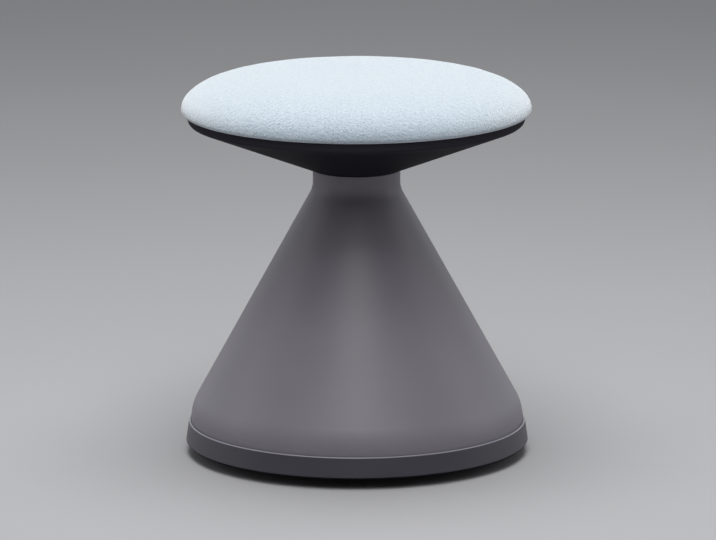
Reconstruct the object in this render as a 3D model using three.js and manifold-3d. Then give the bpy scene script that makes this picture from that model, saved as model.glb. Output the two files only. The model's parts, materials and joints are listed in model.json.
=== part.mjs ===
// A height-adjustable wobble stool: a weighted cone that rocks on a domed rubber sole, a gas lift inside
// the cone, and a round cushioned seat on a dished pan, with a release lever under its back edge.
// Millimetres, +Z up, the floor at z = 0 under the middle of the sole, the front of the stool towards -Y.
// The seat is drawn at its lowest, with its pan just clear of the neck of the cone.
import * as THREE from "three";
import { mergeVertices } from "three/addons/utils/BufferGeometryUtils.js";
import Module from "manifold-3d";

const wasm = await Module();
wasm.setup();

// Fits
const GAP = 0.3; // left between pieces that touch
const RUN_FIT = 0.4; // left round a piece that slides or turns in another
const OVERRUN = 4; // how far a cut runs past the surface that it opens

// Roundness
const LARGE_SIDES = 32;
const MEDIUM_SIDES = 24;
const SMALL_SIDES = 10;
const HEX_SIDES = 6;
const BALL_SIDES = 6;
const BALL_RINGS = 4;
const ARC_STEP = Math.PI / 8;
const DOME_STEPS = 4;
const CROWN_STEPS = 7;
const ROLL_STEPS = 3;
const FILLET_LIMIT_SHARE = 0.48; // of the shorter side that a fillet runs into
const MERGE_DISTANCE = 0.001; // under which two corners of a mesh are one

// Rubber sole: flat in the middle, then one arc up to its edge
const SOLE_FLAT_R = 60;
const SOLE_EDGE_RISE = 12;
const SOLE_T = 5;

// Base plate and the ring round its edge
const BASE_PLATE_T = 4;
const RIM_FLANGE_T = 4.7;
const RIM_FLANGE_W = 9.5;
const RIM_H = 24.3;
const RIM_LIP_T = 2.2;
const RIM_LIP_FILLET = 1.4;
const RIM_SWELL = 3.9; // how much wider the ring is at its foot than at its lip
const RIM_FOOT_FILLET = 1.5;

// Cone
const SKIRT_R = 189;
const SKIRT_CORNER_Z = 52.5;
const SKIRT_FILLET = 55;
const NECK_R = 49.5;
const NECK_H = 20.7;
const NECK_FILLET = 25;
const NECK_TOP_Z = 326;
const SHELL_WALL = 3.5;
const BOSS_R = 6.5;
const BOSS_OVER_SCREW = 14.7;

// Screws that hold the ring, the base plate and the cone together, driven from below
const BASE_SCREWS = 6;
const BASE_SCREW_R = 2.2;
const BASE_SCREW_BELOW_CORNER = 7.6; // from its point up to the corner of the skirt
const BASE_SCREW_HEAD_R = 4.2;
const BASE_SCREW_HEAD_H = 2.6;
const SCREW_TIP_L = 3;

// Ballast
const BALLAST_R = 140;
const BALLAST_BORE_R = 36;
const BALLAST_H = 17.4;
const BALLAST_DRAFT = 2; // how much narrower it is at its top

// Socket that holds the column on the ballast, with its studs and nuts
const SOCKET_FLANGE_R = 75;
const SOCKET_FLANGE_T = 6;
const SOCKET_WALL = 9;
const SOCKET_H = 68;
const SOCKET_FILLET = 5;
const STUDS = 4;
const STUD_R = 4;
const STUD_CIRCLE_R = 56;
const STUD_END = 3.5;
const NUT_FLATS = 13;
const NUT_H = 6.5;

// Column tube of the lift and the bush in its mouth
const COLUMN_R = 25;
const COLUMN_WALL = 1.8;
const COLUMN_TAPER = 1.2; // how much its radius narrows towards the bottom
const COLUMN_BELOW_SOCKET = 3.3;
const COLUMN_BELOW_NECK = 34;
const COLUMN_BUSH_L = 82;
const BUSH_FLANGE_T = 2.5;

// Closing plate, thrust bearing and clip at the bottom of the column
const END_PLATE_T = 4;
const END_PLATE_INSET = 4;
const RACE_R = 13;
const RACE_T = 2;
const BALLS = 8;
const BALL_R = 2;
const BALL_CIRCLE_R = 9.5;
const CAGE_T = 1.6;
const CAGE_W = 4.6;
const CLIP_R = 8;
const CLIP_T = 1.5;
const CLIP_GROOVE = 0.9;

// Piston rod and piston
const ROD_R = 5;
const ROD_FOOT_R = 4;
const ROD_FOOT_END = 3;
const ROD_TOP_R = 3.5;
const ROD_TOP_END = 2;
const PISTON_H = 15;
const PISTON_SEAL_H = 4;
const PISTON_SEAL_DEPTH = 2.4;
const BUMP_STOP_H = 16;
const BUMP_STOP_INSET = 3; // inside the tube that lands on it

// Pressure tube, what closes its two ends, and how far the lift rises
const LIFT_TRAVEL = 180;
const TUBE_R = 14;
const TUBE_WALL = 1.4;
const TUBE_TAPER = 1.1;
const TUBE_LIP = 4.5;
const TUBE_PROUD = 2; // of the hub that it is wedged into
const ROD_GUIDE_H = 16;
const ROD_SEAL_H = 4;
const PISTON_SPARE = 8; // left under the piston with the lift full out
const VALVE_H = 18;
const VALVE_PIN_R = 3;
const VALVE_PIN_PROUD = 4.5;
const VALVE_PIN_L = 22.5;

// Bush in the neck and the sleeve that slides in it
const NECK_BUSH_WALL = 7.3;
const NECK_BUSH_L = 38;
const NECK_BUSH_LAND_L = 24;
const NECK_BUSH_LIP_T = 3;
const NECK_BUSH_FLANGE_T = 2;
const NECK_BUSH_FLANGE_W = 1.6; // lies in a rebate in the top of the neck
const SLEEVE_WALL = 2.5;
const SLEEVE_FLANGE_T = 3;
const SLEEVE_FLANGE_W = 8;
const SLEEVE_HELD = 34.3; // still inside the neck with the seat at its highest

// Cushion
const SEAT_R = 197.9;
const CUSHION_RISE = 41.4; // from its widest level to the middle of its top
const CUSHION_SIDE_POWER = 4.08;
const CUSHION_CROWN_POWER = 2.02;
const CUSHION_ROLL_H = 4.1; // from its widest level down to the rim of the pan
const CUSHION_ROLL_W = 10.5; // how far it draws in on the way
const COVER_T = 1.3;
const COVER_HEM_W = 16;
const BOARD_T = 12;
const BOARD_INSET = 13;

// Pan under the cushion
const PAN_OVERHANG = 7.4; // of the cushion round it
const PAN_HUB_OVER_NECK = 0.7; // how much wider its flat hub is than the neck
const PAN_HUB_FILLET = 2;
const PAN_RISE = 54.4;
const PAN_FILLET = 14;
const PAN_RIM_H = 10.2;
const PAN_WALL = 3;
const TOWER_R = 7;
const TOWER_POCKET_R = 4.8;
const TOWER_LEDGE_T = 6;
const TOWER_CIRCLE_R = 120;
const TOWER_ANGLES = [65, 140, 220, 295].map(THREE.MathUtils.degToRad); // from the front
const PAN_SCREW_R = 2;
const PAN_SCREW_L = 15;
const PAN_SCREW_HEAD_R = 4;
const PAN_SCREW_HEAD_H = 2.5;

// Pressed steel plate under the board, with a tray in its middle and the hub that takes the lift
const SEAT_PLATE_R = 80;
const SEAT_PLATE_WALL = 3;
const TRAY_R = 51;
const TRAY_DEPTH = 31.2;
const TRAY_FILLET = 3;
const HUB_WALL = 5;
const HUB_DROP = 15;
const HUB_RISE = 10;
const PLATE_BOLTS = 4;
const PLATE_BOLT_R = 3;
const PLATE_BOLT_FLATS = 10;
const PLATE_BOLT_HEAD_H = 4;
const TEE_NUT_BARREL_WALL = 1.2;
const TEE_NUT_ABOVE_PLATE = 1.8; // free under its barrel
const TEE_NUT_R = 9;
const TEE_NUT_FLANGE_T = 1.5;

// Release lever, its pivot and its grip
const LEVER_W = 12;
const LEVER_T = 4;
const LEVER_HUB_R = 6.5;
const LEVER_PAST_VALVE = 5;
const LEVER_FLAT = 12; // how far its tip stays level past the valve, towards the pivot
const LEVER_END_Y = 178;
const LEVER_PULL = THREE.MathUtils.degToRad(4.5);
const LEVER_DROP = 30; // of its outer end below the pan
const PIVOT_TO_TRAY = 10; // from the middle of the pin to the inside of the tray
const PIVOT_ABOVE_TUBE = 3;
const PIVOT_R = 3;
const PIVOT_HEAD_R = 4.6;
const PIVOT_HEAD_T = 1.6;
const PIVOT_END = 3;
const EAR_T = 3;
const EAR_W = 13;
const EAR_ABOVE_PIVOT = 6;
const TRAY_SLOT_SIDE = 1.5; // free at each side of the lever
const TRAY_SLOT_H = 15;
const PAN_SLOT_SIDE = 2.5;
const PAN_SLOT_END_FIT = 7; // free at each end of the slot, with the lever at rest or full up
const GRIP_L = 38;
const GRIP_ROOT_W = 24;
const GRIP_W = 42;
const GRIP_T = 7;
const GRIP_FILLET = 8;
const GRIP_HELD = 26; // how much of the lever is in it

// Corner of an outline, at a radius or a distance and a height, with the radius that rounds it
const at = (r, z, fillet = 0) => ({ r, z, fillet });

// The round that takes the place of a corner between its two neighbours
function arcAt(before, corner, after) {
  const here = new THREE.Vector2(corner.r, corner.z);
  const back = new THREE.Vector2(before.r, before.z).sub(here);
  const onward = new THREE.Vector2(after.r, after.z).sub(here);
  const half = back.angleTo(onward) / 2;
  const limit = FILLET_LIMIT_SHARE * Math.min(back.length(), onward.length());
  const reach = Math.min(corner.fillet / Math.tan(half), limit);
  const start = here.clone().addScaledVector(back.normalize(), reach);
  const end = here.clone().addScaledVector(onward.normalize(), reach);
  const toCentre = back.add(onward).normalize();
  const centre = here.clone().addScaledVector(toCentre, reach / Math.cos(half));
  const sweep = Math.PI - 2 * half;
  const turn = Math.sign(start.clone().sub(centre).cross(end.clone().sub(centre)));
  const steps = Math.max(1, Math.ceil(sweep / ARC_STEP));
  const stepAngle = (turn * sweep) / steps;
  return Array.from({ length: steps + 1 }, (_, i) => start.clone().rotateAround(centre, stepAngle * i));
}

// The points of a closed outline with its corners rounded
function rounded(corners) {
  const count = corners.length;
  return corners.flatMap((corner, i) => {
    if (!corner.fillet) return [new THREE.Vector2(corner.r, corner.z)];
    return arcAt(corners[(i + count - 1) % count], corner, corners[(i + 1) % count]);
  });
}

// An open line moved to its left by a distance, with its corners mitred and its fillets kept parallel
function moved(line, distance) {
  const ends = line.slice(1);
  const ways = ends.map((to, i) => new THREE.Vector2(to.r - line[i].r, to.z - line[i].z).normalize());
  return line.map((corner, i) => {
    const before = ways[Math.max(i - 1, 0)];
    const after = ways[Math.min(i, ways.length - 1)];
    const shift = new THREE.Vector2(-before.y - after.y, before.x + after.x);
    shift.multiplyScalar(distance / (1 + before.dot(after)));
    const fillet = corner.fillet && Math.max(corner.fillet - Math.sign(before.cross(after)) * distance, 0);
    return at(corner.r + shift.x, corner.z + shift.y, fillet);
  });
}

// Height at a radius on the straight line through two corners
const heightAt = (from, to, r) => from.z + ((to.z - from.z) * (r - from.r)) / (to.r - from.r);

// A closed outline of corners turned about the Z axis
function turned(corners, sides = LARGE_SIDES) {
  const points = rounded(corners);
  if (THREE.ShapeUtils.area(points) < 0) points.reverse();
  if (points[0].x > 0) points.push(points[0].clone());
  return new THREE.LatheGeometry(points, sides).rotateX(Math.PI / 2);
}

// An upright ring between two radii
const ring = (innerR, outerR, bottom, top, sides = SMALL_SIDES) =>
  turned([at(innerR, bottom), at(outerR, bottom), at(outerR, top), at(innerR, top)], sides);

// An upright round bar at a place, or a hexagonal one with six sides
const upright = (r, bottom, top, place = { x: 0, y: 0 }, sides = SMALL_SIDES) =>
  new THREE.CylinderGeometry(r, r, top - bottom, sides)
    .rotateX(Math.PI / 2)
    .translate(place.x, place.y, (bottom + top) / 2);

// A round bar along X, its middle at x = 0
const crossBar = (r, length, y, z) =>
  new THREE.CylinderGeometry(r, r, length, SMALL_SIDES).rotateZ(Math.PI / 2).translate(0, y, z);

// A box from its lowest to its highest corner
const block = (low, high) =>
  new THREE.BoxGeometry(high[0] - low[0], high[1] - low[1], high[2] - low[2]).translate(
    (low[0] + high[0]) / 2,
    (low[1] + high[1]) / 2,
    (low[2] + high[2]) / 2,
  );

// Places on a circle, each at an angle from the front
const onCircle = (r, angle) => ({ x: r * Math.sin(angle), y: -r * Math.cos(angle) });
const spread = (count, r, first = 0) =>
  Array.from({ length: count }, (_, i) => onCircle(r, first + (2 * Math.PI * i) / count));

const hexR = (flats) => flats / Math.sqrt(3);

// A geometry as a solid that can be joined and cut
function solid(geometry) {
  const bare = new THREE.BufferGeometry()
    .setIndex(geometry.index)
    .setAttribute("position", geometry.getAttribute("position"));
  const merged = mergeVertices(bare, MERGE_DISTANCE);
  const kept = [];
  for (let i = 0; i < merged.index.count; i += 3) {
    const [a, b, c] = merged.index.array.subarray(i, i + 3);
    if (a !== b && b !== c && c !== a) kept.push(a, b, c);
  }
  const vertProperties = merged.getAttribute("position").array;
  const triVerts = Uint32Array.from(kept);
  return new wasm.Manifold(new wasm.Mesh({ numProp: 3, vertProperties, triVerts }));
}

const asSolid = (shape) => (shape.isBufferGeometry ? solid(shape) : shape);
const join = (...shapes) => shapes.map(asSolid).reduce((whole, shape) => whole.add(shape));
const cut = (shape, ...tools) =>
  tools.map(asSolid).reduce((whole, tool) => whole.subtract(tool), asSolid(shape));
const common = (a, b) => asSolid(a).intersect(asSolid(b));

// A solid as a geometry again
function geometryOf(shape) {
  if (shape.isBufferGeometry) return shape;
  const mesh = shape.getMesh();
  return new THREE.BufferGeometry()
    .setAttribute("position", new THREE.BufferAttribute(mesh.vertProperties, mesh.numProp))
    .setIndex(new THREE.BufferAttribute(mesh.triVerts, 1));
}

function piece(name, shape, material) {
  const mesh = new THREE.Mesh(geometryOf(shape), material);
  mesh.name = name;
  return mesh;
}

const assembly = (...pieces) => new THREE.Group().add(...pieces.flat());

const finish = (color, roughness, metalness = 0) =>
  new THREE.MeshStandardMaterial({ color, roughness, metalness });
const FABRIC = finish(0xdce7f2, 0.95);
const FOAM = finish(0xe9e2c8, 0.9);
const PLYWOOD = finish(0xc79f6b, 0.7);
const BLACK_PLASTIC = finish(0x1b1b1f, 0.45);
const GREY_PLASTIC = finish(0x7c7980, 0.55);
const DARK_GREY_PLASTIC = finish(0x474550, 0.5);
const RUBBER = finish(0x141416, 0.85);
const NYLON = finish(0x2a2a2e, 0.5);
const CAST_IRON = finish(0x3c3d40, 0.75, 0.8);
const BLACK_STEEL = finish(0x1d1d20, 0.45, 0.7);
const ZINC = finish(0xb9bcc2, 0.35, 0.95);
const POLISHED_STEEL = finish(0xd2d5da, 0.15, 1);

// Base, from the floor up: each radius from the skirt inwards, and each level from the piece below
const shellInnerR = SKIRT_R - SHELL_WALL;
const rimInnerR = shellInnerR - RIM_FLANGE_W;
const soleEdgeR = rimInnerR - RUN_FIT;
const domeReach = soleEdgeR - SOLE_FLAT_R;
const domeR = (domeReach ** 2 + SOLE_EDGE_RISE ** 2) / (2 * SOLE_EDGE_RISE);
const domeZ = (r) => (r <= SOLE_FLAT_R ? 0 : domeR - Math.sqrt(domeR ** 2 - (r - SOLE_FLAT_R) ** 2));
const rimFlangeTop = SOLE_EDGE_RISE + SOLE_T;
const rimBottom = rimFlangeTop - RIM_FLANGE_T;
const basePlateBottom = rimFlangeTop + GAP;
const basePlateTop = basePlateBottom + BASE_PLATE_T;
const basePlateR = shellInnerR - GAP;
const baseScrewCircleR = (rimInnerR + shellInnerR) / 2;
const baseScrewHeadTop = rimBottom + BASE_SCREW_HEAD_H;
const baseScrewTop = SKIRT_CORNER_Z - BASE_SCREW_BELOW_CORNER;
const bossBottom = basePlateTop + GAP;
const ballastLift = SOLE_T + GAP + BASE_PLATE_T + GAP; // above the dome
const ballastTop = ballastLift + BALLAST_H;
const socketBottom = ballastTop + GAP;
const socketFlangeTop = socketBottom + SOCKET_FLANGE_T;
const socketTop = socketBottom + SOCKET_H;
const socketR = COLUMN_R + SOCKET_WALL;
const studTop = socketFlangeTop + GAP + NUT_H + STUD_END;

// Column and its bottom end
const columnBottom = socketBottom - COLUMN_BELOW_SOCKET;
const columnTop = NECK_TOP_Z - COLUMN_BELOW_NECK;
const columnOuterAt = (z) =>
  COLUMN_R - (COLUMN_TAPER * Math.max(socketTop - z, 0)) / (socketTop - columnBottom);
const endPlateBottom = columnBottom + END_PLATE_INSET;
const endPlateTop = endPlateBottom + END_PLATE_T;
const lowerRaceBottom = endPlateTop + GAP;
const ballsBottom = lowerRaceBottom + RACE_T + GAP;
const upperRaceBottom = ballsBottom + 2 * BALL_R + GAP;
const rodShoulder = upperRaceBottom + RACE_T + GAP;
const clipTop = endPlateBottom - GAP;
const clipBottom = clipTop - CLIP_T;
const rodBottom = clipBottom - GAP - ROD_FOOT_END;

// Neck and the sliding sleeve
const neckBushR = NECK_R - SHELL_WALL - GAP;
const neckBushBoreR = neckBushR - NECK_BUSH_WALL;
const neckBushFlangeR = neckBushR + NECK_BUSH_FLANGE_W;
const neckBushFlangeBottom = NECK_TOP_Z - NECK_BUSH_FLANGE_T;
const sleeveR = neckBushBoreR - RUN_FIT;
const sleeveBottom = NECK_TOP_Z - SLEEVE_HELD - LIFT_TRAVEL;

// Pan: its outer line runs out from the bore round the sleeve, up the dish and up the rim
const panBottom = NECK_TOP_Z + RUN_FIT;
const panR = SEAT_R - PAN_OVERHANG;
const panBoreR = sleeveR + RUN_FIT;
const panHubR = NECK_R + PAN_HUB_OVER_NECK;
const panRimTop = panBottom + PAN_RISE + PAN_RIM_H;
const panOuter = [
  at(panBoreR, panBottom),
  at(panHubR, panBottom, PAN_HUB_FILLET),
  at(panR, panBottom + PAN_RISE, PAN_FILLET),
  at(panR, panRimTop),
];
const panInner = moved(panOuter, PAN_WALL);
const panOuterZ = (r) => heightAt(panOuter[1], panOuter[2], r);
const panInnerZ = (r) => heightAt(panInner[1], panInner[2], r);
const sleeveFlangeBottom = panBottom + PAN_WALL + GAP;

// Cushion: the board clears the pan with the hem of the cover wrapped round its edge
const boardR = panR - PAN_WALL - BOARD_INSET;
const wrapR = boardR + GAP + COVER_T;
const hemBottom = panInnerZ(wrapR) + GAP;
const boardBottom = hemBottom + COVER_T + GAP;
const boardTop = boardBottom + BOARD_T;
const coverBottom = panRimTop + GAP;
const foamBottom = Math.max(boardTop, coverBottom + COVER_T) + GAP;
const cushionLevel = coverBottom + CUSHION_ROLL_H;

// Seat plate and the top of the lift
const seatPlateTop = boardBottom - GAP;
const seatFlangeBottom = seatPlateTop - SEAT_PLATE_WALL;
const trayBottom = seatPlateTop - TRAY_DEPTH;
const trayFloor = trayBottom + SEAT_PLATE_WALL;
const hubR = TUBE_R + HUB_WALL;
const hubBottom = trayBottom - HUB_DROP;
const hubTop = trayFloor + HUB_RISE;
const plateBoltCircleR = (TRAY_R + SEAT_PLATE_R) / 2;
const tubeBottom = rodShoulder + BUMP_STOP_H + 2 * GAP;
const tubeTop = hubTop + TUBE_PROUD;
const tubeOuterAt = (z) => TUBE_R - (TUBE_TAPER * Math.max(z - hubBottom, 0)) / (tubeTop - hubBottom);
const tubeBoreR = TUBE_R - TUBE_WALL;
const tubeLipR = TUBE_R - TUBE_WALL - TUBE_LIP;
const sealBottom = tubeBottom + TUBE_WALL + GAP;
const guideBottom = sealBottom + ROD_SEAL_H + GAP;
const guideTop = guideBottom + ROD_GUIDE_H;
const pistonBottom = guideTop + LIFT_TRAVEL + PISTON_SPARE;
const pistonTop = pistonBottom + PISTON_H;
const pistonR = tubeBoreR - 2 * GAP;
const pistonSealMiddle = (pistonBottom + pistonTop) / 2;
const valveTop = tubeTop - TUBE_WALL - GAP;
const valveR = tubeOuterAt(valveTop) - TUBE_WALL - GAP;
const valvePinTop = tubeTop + VALVE_PIN_PROUD;

// Lever: level over the valve pin, then through the pivot and in one straight line out below the pan
const pivotY = TRAY_R - SEAT_PLATE_WALL - PIVOT_TO_TRAY;
const pivotZ = tubeTop + PIVOT_ABOVE_TUBE;
const leverTipZ = valvePinTop + RUN_FIT + LEVER_T / 2;
const leverEndZ = panOuterZ(LEVER_END_Y) - LEVER_DROP;
const leverSlope = Math.atan2(leverEndZ - pivotZ, LEVER_END_Y - pivotY);
const leverZ = (y) => pivotZ + (y - pivotY) * Math.tan(leverSlope);
const gripStartY = LEVER_END_Y - GRIP_HELD;
const panSlope = Math.atan2(PAN_RISE, panR - panHubR);
const earInnerX = LEVER_W / 2 + RUN_FIT;
const earOuterX = earInnerX + EAR_T;

// The underside of the dome, or a line parallel to it, from one radius to another
function domeLine(fromR, toR, lift) {
  const bend = THREE.MathUtils.clamp(SOLE_FLAT_R, fromR, toR);
  const line = fromR < bend ? [at(fromR, lift)] : [];
  for (let i = 0; i <= DOME_STEPS; i++) {
    const r = bend + ((toR - bend) * i) / DOME_STEPS;
    line.push(at(r, lift + domeZ(r)));
  }
  return line;
}

const footSole = () => turned([...domeLine(0, soleEdgeR, 0), ...domeLine(0, soleEdgeR, SOLE_T).reverse()]);

function basePlate() {
  const underside = domeLine(0, soleEdgeR, SOLE_T + GAP);
  const upper = domeLine(0, soleEdgeR, SOLE_T + GAP + BASE_PLATE_T).reverse();
  const edge = [at(basePlateR, basePlateBottom), at(basePlateR, basePlateTop)];
  const holes = spread(BASE_SCREWS, baseScrewCircleR).map((place) =>
    upright(BASE_SCREW_R + GAP, basePlateBottom - OVERRUN, basePlateTop + OVERRUN, place),
  );
  return cut(turned([...underside, ...edge, ...upper]), ...holes);
}

function baseRim() {
  const lipTop = rimBottom + RIM_H;
  const innerR = SKIRT_R + GAP;
  const lipR = innerR + RIM_LIP_T;
  const body = turned([
    at(rimInnerR, rimBottom),
    at(lipR + RIM_SWELL, rimBottom, RIM_FOOT_FILLET),
    at(lipR, lipTop, RIM_LIP_FILLET),
    at(innerR, lipTop),
    at(innerR, rimFlangeTop),
    at(rimInnerR, rimFlangeTop),
  ]);
  const places = spread(BASE_SCREWS, baseScrewCircleR);
  const holes = places.map((place) =>
    upright(BASE_SCREW_R + GAP, rimBottom - OVERRUN, rimFlangeTop + OVERRUN, place),
  );
  const recesses = places.map((place) =>
    upright(BASE_SCREW_HEAD_R + GAP, rimBottom - OVERRUN, baseScrewHeadTop + GAP, place),
  );
  return cut(body, ...holes, ...recesses);
}

function coneShell() {
  const outer = [
    at(SKIRT_R, rimFlangeTop + GAP),
    at(SKIRT_R, SKIRT_CORNER_Z, SKIRT_FILLET),
    at(NECK_R, NECK_TOP_Z - NECK_H, NECK_FILLET),
    at(NECK_R, NECK_TOP_Z),
  ];
  const inner = moved(outer, SHELL_WALL).reverse();
  const rebateBottom = neckBushFlangeBottom - GAP;
  const rebate = [at(neckBushFlangeR + GAP, NECK_TOP_Z), at(neckBushFlangeR + GAP, rebateBottom)];
  const shell = turned([...outer, ...rebate, at(inner[0].r, rebateBottom), ...inner.slice(1)]);
  const filled = turned([at(0, rimFlangeTop + GAP), ...outer, at(0, NECK_TOP_Z)]);
  const places = spread(BASE_SCREWS, baseScrewCircleR);
  const bossTop = baseScrewTop + BOSS_OVER_SCREW;
  const bosses = places.map((place) => common(upright(BOSS_R, bossBottom, bossTop, place), filled));
  const holes = places.map((place) =>
    upright(BASE_SCREW_R + GAP, bossBottom - OVERRUN, baseScrewTop + GAP, place),
  );
  return cut(join(shell, ...bosses), ...holes);
}

function ballastRing() {
  const body = turned([
    ...domeLine(BALLAST_BORE_R, BALLAST_R, ballastLift),
    at(BALLAST_R - BALLAST_DRAFT, ballastTop),
    at(BALLAST_BORE_R, ballastTop),
  ]);
  const holes = spread(STUDS, STUD_CIRCLE_R).map((place) =>
    upright(STUD_R + GAP, ballastLift - OVERRUN, ballastTop + OVERRUN, place),
  );
  return cut(body, ...holes);
}

function columnSocket() {
  const boreAt = (z) => columnOuterAt(z) + GAP;
  const body = turned(
    [
      at(boreAt(socketBottom), socketBottom),
      at(SOCKET_FLANGE_R, socketBottom),
      at(SOCKET_FLANGE_R, socketFlangeTop),
      at(socketR, socketFlangeTop, SOCKET_FILLET),
      at(socketR, socketTop),
      at(boreAt(socketTop), socketTop),
    ],
    MEDIUM_SIDES,
  );
  const holes = spread(STUDS, STUD_CIRCLE_R).map((place) =>
    upright(STUD_R + GAP, socketBottom - OVERRUN, socketFlangeTop + OVERRUN, place),
  );
  return cut(body, ...holes);
}

const columnTube = () =>
  turned(
    [
      at(columnOuterAt(columnBottom), columnBottom),
      at(COLUMN_R, socketTop),
      at(COLUMN_R, columnTop),
      at(COLUMN_R - COLUMN_WALL, columnTop),
      at(COLUMN_R - COLUMN_WALL, socketTop),
      at(columnOuterAt(columnBottom) - COLUMN_WALL, columnBottom),
    ],
    MEDIUM_SIDES,
  );

function columnBush() {
  const boreR = TUBE_R + RUN_FIT;
  const bodyR = COLUMN_R - COLUMN_WALL - GAP;
  const flangeBottom = columnTop + GAP;
  return turned(
    [
      at(boreR, flangeBottom - COLUMN_BUSH_L),
      at(bodyR, flangeBottom - COLUMN_BUSH_L),
      at(bodyR, flangeBottom),
      at(COLUMN_R, flangeBottom),
      at(COLUMN_R, flangeBottom + BUSH_FLANGE_T),
      at(boreR, flangeBottom + BUSH_FLANGE_T),
    ],
    MEDIUM_SIDES,
  );
}

const neckBush = () =>
  turned(
    [
      at(neckBushBoreR, neckBushFlangeBottom - NECK_BUSH_L),
      at(neckBushBoreR + NECK_BUSH_LIP_T, neckBushFlangeBottom - NECK_BUSH_L),
      at(neckBushBoreR + NECK_BUSH_LIP_T, neckBushFlangeBottom - NECK_BUSH_LAND_L),
      at(neckBushR, neckBushFlangeBottom - NECK_BUSH_LAND_L),
      at(neckBushR, neckBushFlangeBottom),
      at(neckBushFlangeR, neckBushFlangeBottom),
      at(neckBushFlangeR, NECK_TOP_Z),
      at(neckBushBoreR, NECK_TOP_Z),
    ],
    MEDIUM_SIDES,
  );

// A screw with a round head below and its point above
function screwUp(place, headBottom, headR, headH, shankR, length) {
  const shankTop = headBottom + headH + length;
  return turned(
    [
      at(0, headBottom),
      at(headR, headBottom),
      at(headR, headBottom + headH),
      at(shankR, headBottom + headH),
      at(shankR, shankTop - SCREW_TIP_L),
      at(0, shankTop),
    ],
    SMALL_SIDES,
  ).translate(place.x, place.y, 0);
}

function baseFasteners() {
  const length = baseScrewTop - baseScrewHeadTop;
  const screws = spread(BASE_SCREWS, baseScrewCircleR).map((place, i) => {
    const shape = screwUp(place, rimBottom, BASE_SCREW_HEAD_R, BASE_SCREW_HEAD_H, BASE_SCREW_R, length);
    return piece("base_screw_" + (i + 1), shape, ZINC);
  });
  const places = spread(STUDS, STUD_CIRCLE_R);
  const studs = places.map((place, i) =>
    piece("base_stud_" + (i + 1), upright(STUD_R, ballastLift, studTop, place), ZINC),
  );
  const nutBottom = socketFlangeTop + GAP;
  const nuts = places.map((place, i) => {
    const blank = upright(hexR(NUT_FLATS), nutBottom, nutBottom + NUT_H, place, HEX_SIDES);
    const bore = upright(STUD_R + GAP, nutBottom - OVERRUN, nutBottom + NUT_H + OVERRUN, place);
    return piece("base_nut_" + (i + 1), cut(blank, bore), ZINC);
  });
  return [screws, studs, nuts].flat();
}

const endPlate = () =>
  ring(ROD_FOOT_R + RUN_FIT, columnOuterAt(columnBottom) - COLUMN_WALL - GAP, endPlateBottom, endPlateTop);

// A ring that holds the balls apart, with the balls in it
function ballCage() {
  const middle = ballsBottom + BALL_R;
  const halfW = CAGE_W / 2;
  const cage = ring(BALL_CIRCLE_R - halfW, BALL_CIRCLE_R + halfW, middle - CAGE_T / 2, middle + CAGE_T / 2);
  const balls = spread(BALLS, BALL_CIRCLE_R).map((place) =>
    new THREE.SphereGeometry(BALL_R, BALL_SIDES, BALL_RINGS)
      .rotateX(Math.PI / 2)
      .translate(place.x, place.y, middle),
  );
  return join(cage, ...balls);
}

function pistonRod() {
  return turned(
    [
      at(0, rodBottom),
      at(ROD_FOOT_R, rodBottom),
      at(ROD_FOOT_R, clipBottom - GAP),
      at(ROD_FOOT_R - CLIP_GROOVE, clipBottom - GAP),
      at(ROD_FOOT_R - CLIP_GROOVE, clipTop + GAP),
      at(ROD_FOOT_R, clipTop + GAP),
      at(ROD_FOOT_R, rodShoulder),
      at(ROD_R, rodShoulder),
      at(ROD_R, pistonBottom - GAP),
      at(ROD_TOP_R, pistonBottom - GAP),
      at(ROD_TOP_R, pistonTop + ROD_TOP_END),
      at(0, pistonTop + ROD_TOP_END),
    ],
    SMALL_SIDES,
  );
}

function pistonHead() {
  const boreR = ROD_TOP_R + GAP;
  const grooveR = pistonR - PISTON_SEAL_DEPTH;
  const grooveHalf = PISTON_SEAL_H / 2 + GAP;
  return turned(
    [
      at(boreR, pistonBottom),
      at(pistonR, pistonBottom),
      at(pistonR, pistonSealMiddle - grooveHalf),
      at(grooveR, pistonSealMiddle - grooveHalf),
      at(grooveR, pistonSealMiddle + grooveHalf),
      at(pistonR, pistonSealMiddle + grooveHalf),
      at(pistonR, pistonTop),
      at(boreR, pistonTop),
    ],
    SMALL_SIDES,
  );
}

// The parts that turn with the rod in the bottom of the column
function rotorPieces() {
  const sealHalf = PISTON_SEAL_H / 2;
  const sealInnerR = pistonR - PISTON_SEAL_DEPTH + GAP;
  const upperRace = ring(ROD_FOOT_R + GAP, RACE_R, upperRaceBottom, upperRaceBottom + RACE_T);
  const bumpStop = ring(ROD_R + GAP, TUBE_R - BUMP_STOP_INSET, rodShoulder, rodShoulder + BUMP_STOP_H);
  return [
    piece("piston_rod", pistonRod(), POLISHED_STEEL),
    piece("piston_head", pistonHead(), ZINC),
    piece(
      "piston_seal",
      ring(sealInnerR, tubeBoreR - GAP, pistonSealMiddle - sealHalf, pistonSealMiddle + sealHalf),
      RUBBER,
    ),
    piece("bearing_race_upper", upperRace, POLISHED_STEEL),
    piece("bump_stop", bumpStop, RUBBER),
    piece("rod_clip", ring(ROD_FOOT_R - CLIP_GROOVE + GAP, CLIP_R, clipBottom, clipTop), BLACK_STEEL),
  ];
}

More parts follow.
